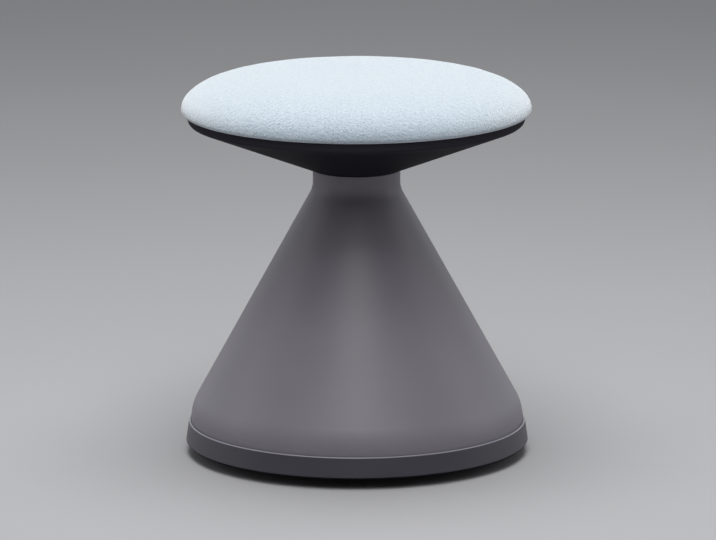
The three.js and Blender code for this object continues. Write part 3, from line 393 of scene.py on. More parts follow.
def plywood():
    tree, shader, place = new_finish("plywood", {"Specular IOR Level": 0.25})
    grain = tree.noise(tree.scaled(place, (0.08, 1.0, 1.0)), WOOD_GRAIN, 5.0, 0.65)
    height = tree.parts(place)[2]
    turn = height * (2 * math.pi / PLY_T)
    layer = tree.between(turn.maths("SINE", turn), -0.2, 0.2)
    tint = tree.mix(grain, colour(0.36, 0.22, 0.11), colour(0.62, 0.45, 0.27))
    tint = tree.mix(0.35 * layer, tint, colour(0.2, 0.11, 0.05))
    dress(tree, shader, tint, 0.6 + 0.2 * grain, grain, WOOD_GRAIN_DEPTH, 0.5)


rubber("sole_rubber")
rubber("seal_rubber")
cast_iron()
coated_steel()
bright_steel("zinc_steel", (0.47, 0.48, 0.5), (0.56, 0.57, 0.56), 0.24, ZINC_SCRATCH)
bright_steel("polished_steel", (0.62, 0.63, 0.65), (0.66, 0.66, 0.67), 0.08, POLISHED_SCRATCH)
plywood()
print("finishes:", len(finishes))

# %% [markdown]
# Nearly every piece of this stool is round, so its shape is one outline turned about the middle.
# The outline is a short list of corners, each with the radius that rounds it. A straight run gets an extra
# point just past each round, so that smooth shading stays on the round and flat faces look flat.

# %% Outlines
ARC_STEP = math.radians(6)
GUARD = 0.35 * MM
LONGEST_STEP = 12 * MM
FILLET_LIMIT_SHARE = 0.48
EDGE = 0.5 * MM


def arc_at(before, corner, after):
    """The round that takes the place of a corner, as its points and with a guard point at each end."""
    here = Vector(corner[:2])
    back, onward = Vector(before[:2]) - here, Vector(after[:2]) - here
    half = back.angle(onward) / 2
    limit = FILLET_LIMIT_SHARE * min(back.length, onward.length)
    reach = min(corner[2] / math.tan(half), limit)
    back.normalize()
    onward.normalize()
    centre = here + (back + onward).normalized() * (reach / math.cos(half))
    start = here + back * reach - centre
    steps = max(2, math.ceil((math.pi - 2 * half) / ARC_STEP))
    turn = math.copysign(1, start.x * onward.y - start.y * onward.x)
    angles = [turn * (math.pi - 2 * half) * i / steps for i in range(steps + 1)]
    arc = [centre + Matrix.Rotation(angle, 2) @ start for angle in angles]
    guard = min(GUARD, limit - reach + GUARD / 4)
    return [here + back * (reach + guard), *arc, here + onward * (reach + guard)]


def rounded(corners, closed=True):
    """The points of an outline whose corners are (radius, height, fillet)."""
    count = len(corners)
    points = []
    for i, corner in enumerate(corners):
        at_end = not closed and i in (0, count - 1)
        if corner[2] and not at_end:
            points += arc_at(corners[i - 1], corner, corners[(i + 1) % count])
        else:
            points.append(Vector(corner[:2]))
    followed = points[1:] + ([points[0]] if closed else [])
    filled = []
    for point, following in zip(points, followed):
        steps = max(1, math.ceil((following - point).length / LONGEST_STEP))
        filled += [point.lerp(following, i / steps) for i in range(steps)]
    return filled + [followed[-1]]


def moved(line, distance):
    """An open line of corners moved to its left by a distance, with its rounds kept parallel."""
    ways = [(Vector(b[:2]) - Vector(a[:2])).normalized() for a, b in zip(line, line[1:])]
    made = []
    for i, (r, z, fillet) in enumerate(line):
        before, after = ways[max(i - 1, 0)], ways[min(i, len(ways) - 1)]
        shift = Vector((-before.y - after.y, before.x + after.x)) * (distance / (1 + before.dot(after)))
        turn = before.x * after.y - before.y * after.x
        kept = max(fillet - math.copysign(distance, turn), 0) if fillet else 0
        made.append((r + shift.x, z + shift.y, kept))
    return made


def eased(line, *places):
    """The line with the small round of an edge at each of these places."""
    for i in places:
        line[i] = (*line[i][:2], EDGE)
    return line


print("an edge of", EDGE / MM, "mm gets", math.ceil(math.pi / 2 / ARC_STEP), "steps")

# %% [markdown]
# Turning is a rule, so Geometry Nodes do it. The object's own mesh is the outline. The tree makes a grid
# with one column for each side and one row for each point of the outline, bends the grid into a ring, and
# merges where it closes. Its inputs are the outline, the number of sides and the finish.

# %% The turning tree
LARGE_SIDES = 160
SMALL_SIDES = 48
MERGE_DISTANCE = 0.002 * MM


def open_tree(title, kinds):
    """A tree with named inputs, which come back as sockets."""
    data = bpy.data.node_groups.new(title, "GeometryNodeTree")
    for name, kind in kinds.items():
        data.interface.new_socket(name, in_out="INPUT", socket_type="NodeSocket" + kind)
    data.interface.new_socket("Shape", in_out="OUTPUT", socket_type="NodeSocketGeometry")
    tree = Tree(data)
    given = data.nodes.new("NodeGroupInput").outputs
    return tree, *(Socket(tree, given[name]) for name in kinds)


def close_tree(tree, shape, finish):
    """Ends a tree in plain geometry with its finish, because an export drops copies that are only shown."""
    plain = tree.node("GeometryNodeRealizeInstances", {}, {"Geometry": shape})
    done = tree.node("GeometryNodeSetMaterial", {}, {"Geometry": plain, "Material": finish})
    tree.feed(tree.data.nodes.new("NodeGroupOutput").inputs["Shape"], done)
    return tree.data


def turning_tree():
    kinds = {"Outline": "Geometry", "Sides": "Int", "Finish": "Material"}
    tree, outline, sides, finish = open_tree("turned_about_the_middle", kinds)
    count = tree.node("GeometryNodeAttributeDomainSize", {}, {"Geometry": outline}, "Point Count")
    grid = tree.node("GeometryNodeMeshGrid", {}, {"Vertices X": sides + 1, "Vertices Y": count}, "Mesh")
    index = tree.node("GeometryNodeInputIndex")
    column = index.maths("FLOOR", (index + 0.5) / count)
    position = tree.node("GeometryNodeInputPosition")
    sample = {"Geometry": outline, "Value": position, "Index": index - column * count}
    point = tree.node("GeometryNodeSampleIndex", {"data_type": "FLOAT_VECTOR"}, sample)
    spin = {"Vector": point, "Angle": column * (2 * math.pi) / sides}
    place = tree.node("ShaderNodeVectorRotate", {"rotation_type": "Z_AXIS"}, spin)
    bent = tree.node("GeometryNodeSetPosition", {}, {"Geometry": grid, "Position": place})
    merged = tree.node("GeometryNodeMergeByDistance", {}, {"Geometry": bent, "Distance": MERGE_DISTANCE})
    return close_tree(tree, merged, finish)


TURNING = turning_tree()
print("turning tree:", len(TURNING.nodes), "nodes")

# %% [markdown]
# Screws, bosses and holes repeat. The object's own mesh holds one point for each copy, and a second tree
# puts the pattern on every point. A loose turn lets each screw stop at its own angle, as real ones do,
# and the fixed seed gives the same angles each time.

# %% The copying tree
SEED = 11


def copying_tree():
    kinds = {"Places": "Geometry", "Pattern": "Object", "Loose turn": "Float", "Finish": "Material"}
    tree, places, pattern, loose_turn, finish = open_tree("copies_at_places", kinds)
    shape = tree.node("GeometryNodeObjectInfo", {}, {"Object": pattern}, "Geometry")
    chance = tree.node("FunctionNodeRandomValue", {"data_type": "FLOAT"}, {2: 0.0, 3: 1.0, "Seed": SEED}, 1)
    turn = tree.node("FunctionNodeAxisAngleToRotation", {}, {"Axis": (0, 0, 1), "Angle": chance * loose_turn})
    put = {"Points": places, "Instance": shape, "Rotation": turn}
    return close_tree(tree, tree.node("GeometryNodeInstanceOnPoints", {}, put), finish)


COPYING = copying_tree()
print("copying tree:", len(COPYING.nodes), "nodes")

# %% [markdown]
# Modifiers only show a shape, and a part that is handed on has to be plain meshes. So each piece is baked:
# what its modifiers make becomes its own mesh. Then what touches is merged, because a turned or cut shape
# can leave doubles, faces are pointed outwards, and only real edges stay sharp.

# %% Making and baking objects
SHARP = math.radians(33)


def new_object(name, mesh):
    made = bpy.data.objects.new(name, mesh)
    bpy.context.scene.collection.objects.link(made)
    return made


def add_modifier(thing, kind, **settings):
    made = thing.modifiers.new(kind.lower(), kind)
    for name, value in settings.items():
        setattr(made, name, value)
    return made


def set_input(modifier, name, value):
    """Sets a modifier's input by its identifier, which the tree keeps for its name."""
    for item in modifier.node_group.interface.items_tree:
        if item.item_type == "SOCKET" and item.in_out == "INPUT" and item.name == name:
            modifier[item.identifier] = value


def coat_once(mesh):
    """Leaves a mesh its one finish, without the empty slot that a node tree puts before it."""
    finish = next((made for made in mesh.materials if made), None)
    mesh.materials.clear()
    mesh.polygons.foreach_set("material_index", [0] * len(mesh.polygons))
    if finish:
        mesh.materials.append(finish)


def baked(thing):
    """Turns what the modifiers make into the object's own plain mesh."""
    bpy.context.view_layer.update()
    graph = bpy.context.evaluated_depsgraph_get()
    seen = thing.evaluated_get(graph)
    mesh = bpy.data.meshes.new_from_object(seen, preserve_all_data_layers=True, depsgraph=graph)
    coat_once(mesh)
    old = thing.data
    thing.modifiers.clear()
    thing.data = mesh
    mesh.name = thing.name
    bpy.data.meshes.remove(old)
    return thing


def tidied(thing):
    """Merges what touches, points every face outwards, and keeps only real edges sharp."""
    body = bmesh.new()
    body.from_mesh(thing.data)
    bmesh.ops.remove_doubles(body, verts=body.verts, dist=MERGE_DISTANCE)
    bmesh.ops.dissolve_degenerate(body, edges=body.edges, dist=MERGE_DISTANCE)
    bmesh.ops.recalc_face_normals(body, faces=body.faces)
    body.to_mesh(thing.data)
    body.free()
    thing.data.shade_smooth()
    thing.data.set_sharp_from_angle(angle=SHARP)
    return thing


print("edges over", round(math.degrees(SHARP)), "degrees stay sharp")

# %% [markdown]
# A few kinds of shape make every hard piece: an outline that is turned, a round bar, a block, and a copy of
# one of them at each of several places. Pieces are joined and holes are cut with exact booleans, the
# slower kind, because the quick kind leaves gaps where faces lie in one plane.

# %% Turned, copied and cut pieces
def turned(name, corners, finish, sides=LARGE_SIDES, closed=True):
    """A round piece from the corners of its outline."""
    points = rounded(corners, closed)
    mesh = bpy.data.meshes.new(name)
    edges = [(i, i + 1) for i in range(len(points) - 1)]
    mesh.from_pydata([(p.x, 0, p.y) for p in points], edges, [])
    thing = new_object(name, mesh)
    turning = add_modifier(thing, "NODES", node_group=TURNING)
    set_input(turning, "Sides", sides)
    set_input(turning, "Finish", finishes[finish])
    return tidied(baked(thing))


def boolean(thing, operation, *tools):
    """Joins an object with tools, or cuts them out of it, and removes the tools."""
    for tool in tools:
        add_modifier(thing, "BOOLEAN", operation=operation, solver="EXACT", object=tool)
    baked(thing)
    if not thing.data.polygons:
        raise ValueError(thing.name + " has nothing left")
    for tool in tools:
        bpy.data.objects.remove(tool)
    return tidied(thing)


def copies(name, pattern, places, loose_turn=0.0):
    """One mesh with a copy of the pattern at each place, each turned by a chance share of the loose turn."""
    mesh = bpy.data.meshes.new(name)
    mesh.from_pydata([tuple(place) for place in places], [], [])
    thing = new_object(name, mesh)
    copying = add_modifier(thing, "NODES", node_group=COPYING)
    set_input(copying, "Pattern", pattern)
    set_input(copying, "Loose turn", loose_turn)
    set_input(copying, "Finish", pattern.data.materials[0])
    baked(thing)
    bpy.data.objects.remove(pattern)
    return thing


def upright(name, radius, bottom, top, finish, fillet=0.0):
    """A round bar along Z about the middle."""
    corners = [(0, bottom, 0), (radius, bottom, fillet), (radius, top, fillet), (0, top, 0)]
    return turned(name, corners, finish, SMALL_SIDES, closed=False)


def posts_inside(shell, inside, radius, bottom, top, places, finish):
    """Joins round posts to a shell, cut off by an outline that lies within its wall."""
    filled = turned("filled", inside, finish, closed=False)
    posts = copies("posts", upright("post", radius, bottom, top, finish), places)
    boolean(shell, "UNION", boolean(posts, "INTERSECT", filled))


def from_bmesh(name, body, finish):
    mesh = bpy.data.meshes.new(name)
    body.to_mesh(mesh)
    body.free()
    mesh.materials.append(finishes[finish])
    return new_object(name, mesh)


def block(name, low, high, finish, upright_fillet=0.0):
    """A box from its lowest to its highest corner, with its upright edges rounded if asked."""
    body = bmesh.new()
    bmesh.ops.create_cube(body, size=1)
    low, high = Vector(low), Vector(high)
    bmesh.ops.transform(body, matrix=Matrix.LocRotScale((low + high) / 2, None, high - low), verts=body.verts)
    if upright_fillet:
        edges = [e for e in body.edges if (e.verts[0].co - e.verts[1].co).xy.length < MERGE_DISTANCE]
        bmesh.ops.bevel(body, geom=edges, offset=upright_fillet, segments=5, affect="EDGES")
    return from_bmesh(name, body, finish)


print("large round pieces have", LARGE_SIDES, "sides, small ones", SMALL_SIDES)

# %% [markdown]
# A finished piece takes the place of its construction piece: it moves with the same body, and the
# construction piece is hidden. Screws and bosses stand on a circle, and their angles are counted from the front.

# %% Settling pieces
def settle(thing, *nodes):
    """The piece rides on the body of the nodes that it stands for, and takes their place by hiding them."""
    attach(thing, body_of[nodes[0]])
    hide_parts(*nodes)
    print(thing.name, "stands for", ", ".join(nodes), "with", len(thing.data.polygons), "faces")
    return thing


def on_circle(radius, angle):
    """A point on a circle, at an angle from the front."""
    return Vector((radius * math.sin(angle), -radius * math.cos(angle), 0))


print("bodies:", ", ".join(bodies))

# %% [markdown]
# The cone is one moulding: a skirt, a long straight flank and a neck, with a wall of 3.5 mm. The corner of
# the skirt is rounded very softly, which is where the photograph shows no edge but a slow change of light.
# Six bosses inside take the screws that come up through the ring at its foot.

# %% Cone
SKIRT_CORNER_Z = 52.5 * MM
SKIRT_FILLET = 55 * MM
NECK_R = 49.5 * MM
NECK_H = 20.7 * MM
NECK_FILLET = 25 * MM
SHELL_WALL = 3.5 * MM
GAP = 0.3 * MM
OVERRUN = 4 * MM
NECK_BUSH_FLANGE_T = 2 * MM
BASE_SCREWS = 6
BOSS_R = 6.5 * MM
BOSS_OVER_SCREW = 14.7 * MM

cone_low, cone_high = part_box("cone_shell")
plate_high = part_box("base_plate")[1]
rim_low, rim_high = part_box("base_rim")
screw_low, screw_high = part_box("base_screw_1")
screw_circle_r = -(screw_low.y + screw_high.y) / 2
screw_places = [on_circle(screw_circle_r, 2 * math.pi * i / BASE_SCREWS) for i in range(BASE_SCREWS)]
SCREW_R = 2.2 * MM
bush_low, bush_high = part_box("neck_bush")


def cone():
    outer = [
        (cone_high.x, cone_low.z, 0),
        (cone_high.x, SKIRT_CORNER_Z, SKIRT_FILLET),
        (NECK_R, cone_high.z - NECK_H, NECK_FILLET),
        (NECK_R, cone_high.z, 0),
    ]
    inner = moved(outer, SHELL_WALL)
    rebate_r, rebate_z = bush_high.x + GAP, bush_high.z - NECK_BUSH_FLANGE_T - GAP
    rebate = [(rebate_r, cone_high.z, 0), (rebate_r, rebate_z, 0), (inner[3][0], rebate_z, 0)]
    corners = [*eased(outer, 0, 3), *rebate, *reversed(eased(inner, 0)[:3])]
    shell = turned("cone", corners, "cone_plastic")
    inside = [(0, cone_low.z, 0), *moved(outer, SHELL_WALL / 2), (0, cone_high.z, 0)]
    boss_bottom, boss_top = plate_high.z + GAP, screw_high.z + BOSS_OVER_SCREW
    posts_inside(shell, inside, BOSS_R, boss_bottom, boss_top, screw_places, "cone_plastic")
    hole = upright("hole", SCREW_R + GAP, plate_high.z - OVERRUN, screw_high.z + GAP, "cone_plastic")
    return settle(boolean(shell, "DIFFERENCE", copies("holes", hole, screw_places)), "cone_shell")


cone()

# %% [markdown]
# When the seat is up, a black sleeve shows between the neck and the pan. It slides in a nylon bush, whose
# flange lies in a rebate in the top of the neck, so the grey neck reaches up to the pan when the seat is
# down.

# %% Neck bush and sleeve
NECK_BUSH_WALL = 7.3 * MM
NECK_BUSH_LAND_L = 24 * MM
NECK_BUSH_LIP_T = 3 * MM
SLEEVE_WALL = 2.5 * MM
SLEEVE_FLANGE_T = 3 * MM
SLEEVE_FLANGE_W = 8 * MM
RUN_FIT = 0.4 * MM
PAN_WALL = 3 * MM
bush_r = NECK_R - SHELL_WALL - GAP
bush_bore_r = bush_r - NECK_BUSH_WALL
sleeve_r = bush_bore_r - RUN_FIT
pan_low, pan_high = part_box("seat_pan")


def neck_bush():
    flange_bottom = bush_high.z - NECK_BUSH_FLANGE_T
    land_end = flange_bottom - NECK_BUSH_LAND_L
    corners = [
        (bush_bore_r, bush_low.z, EDGE),
        (bush_bore_r + NECK_BUSH_LIP_T, bush_low.z, EDGE),
        (bush_bore_r + NECK_BUSH_LIP_T, land_end, EDGE),
        (bush_r, land_end, EDGE),
        (bush_r, flange_bottom, 0),
        (bush_high.x, flange_bottom, 0),
        (bush_high.x, bush_high.z, EDGE),
        (bush_bore_r, bush_high.z, 2 * EDGE),
    ]
    return settle(turned("sliding_bush", corners, "bush_nylon"), "neck_bush")


def sleeve():
    low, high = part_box("lift_sleeve")
    flange_bottom = pan_low.z + PAN_WALL + GAP
    flange_top = flange_bottom + SLEEVE_FLANGE_T
    inner_r, flange_r = sleeve_r - SLEEVE_WALL, sleeve_r + SLEEVE_FLANGE_W
    corners = [
        (inner_r, low.z, EDGE),
        (sleeve_r, low.z, 2 * EDGE),
        (sleeve_r, flange_bottom, EDGE),
        (flange_r, flange_bottom, EDGE),
        (flange_r, flange_top, EDGE),
        (sleeve_r, flange_top, EDGE),
        (sleeve_r, high.z, EDGE),
        (inner_r, high.z, EDGE),
    ]
    return settle(turned("sleeve", corners, "sleeve_plastic"), "lift_sleeve")


neck_bush()
sleeve()

# %% [markdown]
# The ring round the foot is a separate, darker moulding. Its wall leans out towards the floor, its lip
# holds the cone, and its lower edge is rounded. The photograph shows a thin light line all round the lip.
# It may be light on a small round or a rubbed edge. The lip has a true fillet that catches that light, and a thin
# band on it is painted paler as a painted highlight.

# %% Ring round the foot
RIM_FLANGE_T = 4.7 * MM
RIM_FLANGE_W = 9.5 * MM
RIM_LIP_R = 191.5 * MM
RIM_LIP_FILLET = 1.4 * MM
RIM_FOOT_FILLET = 1.5 * MM
SCREW_HEAD_R = 4.2 * MM
SCREW_HEAD_H = 2.6 * MM


def foot_ring():
    flange_top = rim_low.z + RIM_FLANGE_T
    flange_r = cone_high.x - SHELL_WALL - RIM_FLANGE_W
    inner_r = cone_high.x + GAP
    corners = [
        (flange_r, rim_low.z, EDGE),
        (rim_high.x, rim_low.z, RIM_FOOT_FILLET),
        (RIM_LIP_R, rim_high.z, RIM_LIP_FILLET),
        (inner_r, rim_high.z, EDGE),
        (inner_r, flange_top, EDGE),
        (flange_r, flange_top, EDGE),
    ]
    ring = turned("foot_ring", corners, "rim_plastic")
    head_top = rim_low.z + SCREW_HEAD_H + GAP
    hole = upright("hole", SCREW_R + GAP, rim_low.z - OVERRUN, flange_top + OVERRUN, "rim_plastic")
    recess = upright("recess", SCREW_HEAD_R + GAP, rim_low.z - OVERRUN, head_top, "rim_plastic")
    tools = copies("holes", hole, screw_places), copies("recesses", recess, screw_places)
    return settle(boolean(ring, "DIFFERENCE", *tools), "base_rim")


foot_ring()

# %% [markdown]
# The sole is a sheet of rubber, flat in the middle and then curved up in one long arc to its edge. Most of
# it hides under the stool, but its edge shows as the dark band on the floor, so the arc has many points.

# %% Sole
SOLE_FLAT_R = 60 * MM
SOLE_T = 5 * MM
DOME_STEPS = 14


def dome_line(lift, edge_r, edge_rise):
    """The underside of the sole from its middle to its edge, or a line parallel to it."""
    reach = edge_r - SOLE_FLAT_R
    dome_r = (reach**2 + edge_rise**2) / (2 * edge_rise)
    radii = [SOLE_FLAT_R + reach * i / DOME_STEPS for i in range(DOME_STEPS + 1)]
    dome = [(r, lift + dome_r - math.sqrt(dome_r**2 - (r - SOLE_FLAT_R) ** 2), 0) for r in radii]
    return [(0, lift, 0), *dome]


def sole():
    low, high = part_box("foot_sole")
    rise = high.z - low.z - SOLE_T
    under = eased(dome_line(0, high.x, rise), -1)
    over = eased(dome_line(SOLE_T, high.x, rise), -1)
    piece = turned("sole", [*under, *reversed(over)], "sole_rubber", closed=False)
    return settle(piece, "foot_sole")


sole()

# %% [markdown]
# The pan under the cushion is a wide dish with a short upright rim, and a soft round of 14 mm between
# them. Below, four pockets hide the screws that hold the pan to the board, and a slot at the back lets the
# release lever through. Cloth and pan meet 1.3 mm lower here than in the construction model, as if the
# cloth hung a little over the rim.

# %% Pan
PAN_HUB_R = 50.2 * MM
PAN_HUB_FILLET = 2 * MM
PAN_RIM_H = 10.2 * MM
CLOTH_HANGS = 1.3 * MM
PAN_FILLET = 14 * MM
TOWER_R = 7 * MM
TOWER_POCKET_R = 4.8 * MM
TOWER_LEDGE_T = 6 * MM
PAN_SCREW_R = 2 * MM
SLOT_X = 8.5 * MM
SLOT_Y = (105 * MM, 153 * MM)
SLOT_FILLET = 2 * MM
TOWER_CIRCLE_R = 120 * MM
TOWER_ANGLES = [math.radians(angle) for angle in (65, 140, 220, 295)]
tower_places = [on_circle(TOWER_CIRCLE_R, angle) for angle in TOWER_ANGLES]
board_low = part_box("seat_board")[0]


def pan():
    outer = [
        (sleeve_r + RUN_FIT, pan_low.z, 0),
        (PAN_HUB_R, pan_low.z, PAN_HUB_FILLET),
        (pan_high.x, pan_high.z - PAN_RIM_H, PAN_FILLET),
        (pan_high.x, pan_high.z - CLOTH_HANGS, 0),
    ]
    inner = moved(outer, PAN_WALL)
    middle = moved(outer, PAN_WALL / 2)
    dish = turned("pan", [*eased(outer, 0, 3), *reversed(eased(inner, 0, 3))], "pan_plastic")
    tower_top = board_low.z - GAP
    inside = [(0, pan_low.z + PAN_WALL / 2, 0), *middle[1:], (0, middle[-1][1], 0)]
    posts_inside(dish, inside, TOWER_R, pan_low.z, tower_top, tower_places, "pan_plastic")
    pocket = upright("pocket", TOWER_POCKET_R, pan_low.z - OVERRUN, tower_top - TOWER_LEDGE_T, "pan_plastic")
    hole = upright("hole", PAN_SCREW_R + GAP, pan_low.z, tower_top + OVERRUN, "pan_plastic")
    slot_low, slot_high = (-SLOT_X, SLOT_Y[0], pan_low.z), (SLOT_X, SLOT_Y[1], board_low.z)
    slot = block("slot", slot_low, slot_high, "pan_plastic", SLOT_FILLET)
    tools = copies("pockets", pocket, tower_places), copies("holes", hole, tower_places), slot
    return settle(boolean(dish, "DIFFERENCE", *tools), "seat_pan")


pan()

# %% [markdown]
# Each screw is turned, its head rounded below, and a cross is cut in the head for the driver.

# %% Screws
SCREW_TIP_L = 3 * MM
PAN_SCREW_HEAD_R = 4 * MM
PAN_SCREW_HEAD_H = 2.5 * MM
CROSS_LENGTH_SHARE = 0.62
CROSS_WIDTH_SHARE = 0.13
CROSS_DEPTH_SHARE = 0.6
HEAD_FILLET_SHARE = 0.45


def screws(name, nodes, places, head_r, head_h, shank_r, finish):
    low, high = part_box(nodes[0])
    corners = [
        (0, low.z, 0),
        (head_r, low.z, HEAD_FILLET_SHARE * head_h),
        (head_r, low.z + head_h, EDGE / 2),
        (shank_r, low.z + head_h, 0),
        (shank_r, high.z - SCREW_TIP_L, 0),
        (0, high.z, 0),
    ]
    screw = turned("screw", corners, finish, SMALL_SIDES, closed=False)
    long, wide = CROSS_LENGTH_SHARE * head_r, CROSS_WIDTH_SHARE * head_r
    bottom, top = low.z - OVERRUN, low.z + CROSS_DEPTH_SHARE * head_h
    bars = [block("bar", (-x, -y, bottom), (x, y, top), finish) for x, y in ((long, wide), (wide, long))]
    boolean(screw, "DIFFERENCE", *bars)
    return settle(copies(name, screw, places, 2 * math.pi), *nodes)


base_screws = [f"base_screw_{i + 1}" for i in range(BASE_SCREWS)]
pan_screws = [f"pan_screw_{i + 1}" for i in range(len(TOWER_ANGLES))]
screws("base_screws", base_screws, screw_places, SCREW_HEAD_R, SCREW_HEAD_H, SCREW_R, "zinc_steel")
screws("pan_screws", pan_screws, tower_places, PAN_SCREW_HEAD_R, PAN_SCREW_HEAD_H, PAN_SCREW_R, "black_steel")

# %% [markdown]
# The release lever is a flat steel bar, bent level over the valve of the gas lift and then straight out
# below the pan, with a round hub where its pivot pin passes. Its outline is drawn from the side and given
# its width, and a bevel takes the sharpness off the edges, as tumbling does on the real one.

# %% Release lever
LEVER_W = 12 * MM
LEVER_T = 4 * MM
LEVER_HUB_R = 6.5 * MM
LEVER_PAST_VALVE = 5 * MM
LEVER_FLAT = 12 * MM
LEVER_END_Y = 178 * MM
LEVER_DROP = 30 * MM
LEVER_BEND = 9 * MM
PIVOT_R = 3 * MM
FROM_THE_SIDE = Matrix(((0, 0, 1, 0), (1, 0, 0, 0), (0, 1, 0, 0), (0, 0, 0, 1)))
pivot = Vector(next(row for row in frame["joints"] if row["name"] == "lever_pull")["pos_m"])
dish_slope = (pan_high.z - PAN_RIM_H - pan_low.z) / (pan_high.x - PAN_HUB_R)
lever_end_z = pan_low.z + (LEVER_END_Y - PAN_HUB_R) * dish_slope - LEVER_DROP
lever_slope = math.atan2(lever_end_z - pivot.z, LEVER_END_Y - pivot.y)


def plate(name, points, thickness, bevel, finish):
    """A flat outline in the XY plane with a thickness along Z, half to each side, and its edges rounded."""
    body = bmesh.new()
    face = body.faces.new([body.verts.new((p.x, p.y, -thickness / 2)) for p in points])
    grown = bmesh.ops.extrude_face_region(body, geom=[face])["geom"]
    risen = [part for part in grown if isinstance(part, bmesh.types.BMVert)]
    bmesh.ops.translate(body, vec=(0, 0, thickness), verts=risen)
    thing = tidied(from_bmesh(name, body, finish))
    add_modifier(thing, "BEVEL", width=bevel, segments=5, angle_limit=math.radians(40))
    return tidied(baked(thing))


def cross_bar(name, radius, length, y, z, finish, fillet=0.0):
    """A round bar along X with its middle at x = 0."""
    bar = upright(name, radius, -length / 2, length / 2, finish, fillet=fillet)
    bar.data.transform(Matrix.Translation((0, y, z)) @ Matrix.Rotation(math.pi / 2, 4, "Y"))
    return bar


def release_lever():
    tip_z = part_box("valve_pin")[1].z + RUN_FIT + LEVER_T / 2
    line = [
        (-LEVER_PAST_VALVE, tip_z, 0),
        (LEVER_FLAT, tip_z, LEVER_BEND),
        (pivot.y, pivot.z, LEVER_BEND),
        (LEVER_END_Y, lever_end_z, 0),
    ]
    outline = [*moved(line, LEVER_T / 2), *reversed(moved(line, -LEVER_T / 2))]
    bar = plate("lever_bar", rounded(outline)[:-1], LEVER_W, EDGE, "zinc_steel")
    bar.data.transform(FROM_THE_SIDE)
    boolean(bar, "UNION", cross_bar("hub", LEVER_HUB_R, LEVER_W - GAP, pivot.y, pivot.z, "zinc_steel", EDGE))
    bore = cross_bar("bore", PIVOT_R + GAP, 2 * LEVER_W, pivot.y, pivot.z, "zinc_steel")
    return settle(boolean(bar, "DIFFERENCE", bore), "release_lever")


release_lever()

# %% [markdown]
# The grip is moulded over the end of the lever and widens towards the hand. Its edges are full and soft,
# and ribs below stop the fingers from slipping. It is made lying flat, and then tilted onto the lever.

# %% Grip
GRIP_L = 38 * MM
GRIP_ROOT_W = 24 * MM
GRIP_W = 42 * MM
GRIP_T = 7 * MM
GRIP_FILLET = 8 * MM
GRIP_BEVEL = 2.6 * MM
GRIP_HELD = 26 * MM
RIBS = 5
RIB_R = 1.1 * MM
RIB_PITCH = 3.6 * MM
RIB_L = 24 * MM
RIB_FROM_END = 7 * MM


def grip():
    corners = [
        (-GRIP_ROOT_W / 2, 0, GRIP_FILLET / 2),
        (GRIP_ROOT_W / 2, 0, GRIP_FILLET / 2),
        (GRIP_W / 2, GRIP_L, GRIP_FILLET),
        (-GRIP_W / 2, GRIP_L, GRIP_FILLET),
    ]
    body = plate("lever_grip", rounded(corners)[:-1], GRIP_T, GRIP_BEVEL, "grip_plastic")
    rib = cross_bar("rib", RIB_R, RIB_L, 0, 0, "grip_plastic", 0.9 * RIB_R)
    rows = [GRIP_L - RIB_FROM_END - i * RIB_PITCH for i in range(RIBS)]
    boolean(body, "UNION", copies("ribs", rib, [(0, y, -GRIP_T / 2) for y in rows]))
    x, z = LEVER_W / 2 + GAP, LEVER_T / 2 + GAP
    end = GRIP_HELD / math.cos(lever_slope) + GAP
    boolean(body, "DIFFERENCE", block("pocket", (-x, -OVERRUN, -z), (x, end, z), "grip_plastic"))
    start_y = LEVER_END_Y - GRIP_HELD
    start_z = pivot.z + (start_y - pivot.y) * math.tan(lever_slope)
    body.data.transform(Matrix.Translation((0, start_y, start_z)) @ Matrix.Rotation(lever_slope, 4, "X"))
    return settle(body, "lever_paddle")


grip()

# %% [markdown]
# The cushion is foam under a tight cloth cover: a crown that is almost flat in the middle and falls faster
# and faster towards a full, round side. That is a superellipse, the curve between an ellipse and a box.
# Below its widest level the cover is drawn in by about 10 mm to where it is tucked over the rim of the pan.

# %% Cushion form
ROLL_W = 10.5 * MM
ROLL_H = 4.1 * MM + CLOTH_HANGS
SIDE_POWER = 4.08
CROWN_POWER = 2.02
CROWN_STEPS = 60
ROLL_STEPS = 10
cover_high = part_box("seat_cover")[1]
cushion_bottom = pan_high.z + GAP - CLOTH_HANGS
cushion_level = cushion_bottom + ROLL_H


def cushion_line(inset=0.0, finer=1):
    """The outline from the middle of the top, over the crown and round the drawn-in edge, as (r, z)."""
    crown_h = cover_high.z - cushion_level - inset
    line = []
    for i in range(finer * CROWN_STEPS + 1):
        turn = math.pi / 2 * (1 - i / (finer * CROWN_STEPS))
        r = (cover_high.x - inset) * max(math.cos(turn), 0) ** (2 / SIDE_POWER) if i else 0
        line.append((r, cushion_level + crown_h * math.sin(turn) ** (2 / CROWN_POWER)))
    for i in range(1, finer * ROLL_STEPS + 1):
        turn = math.pi / 2 * i / (finer * ROLL_STEPS)
        r = cover_high.x - ROLL_W + (ROLL_W - inset) * math.cos(turn)
        line.append((r, cushion_level - ROLL_H * math.sin(turn)))
    return line


def cushion_form(name, inset=0.0):
    corners = [(r, z, 0) for r, z in cushion_line(inset)]
    return turned(name, [*corners, (0, cushion_bottom, 0)], "seat_fabric", closed=False)


print("the cushion is widest", round(cushion_level, 4), "m above the floor")

# %% [markdown] Real padding isn't perfectly even. A pad that starts a little small is blown up as cloth
# and gives more in one place than in another. The tight cover evens most of that out, so a tenth of it,
# some tenths of a millimetre, is laid over the fine form, and its lower edge stays crisp.

# %% Cushion cloth
VOXEL = 5 * MM
START_INSET = 2.5 * MM
SWELL_CAP = 6 * MM
PRESSURE = 4.0
FRAMES = 20
NEIGHBOURS = 12
SHOWN_SHARE = 0.1
RING_STEP = 0.05 * MM


def points_of(mesh):
    return np.array([vertex.co for vertex in mesh.vertices])


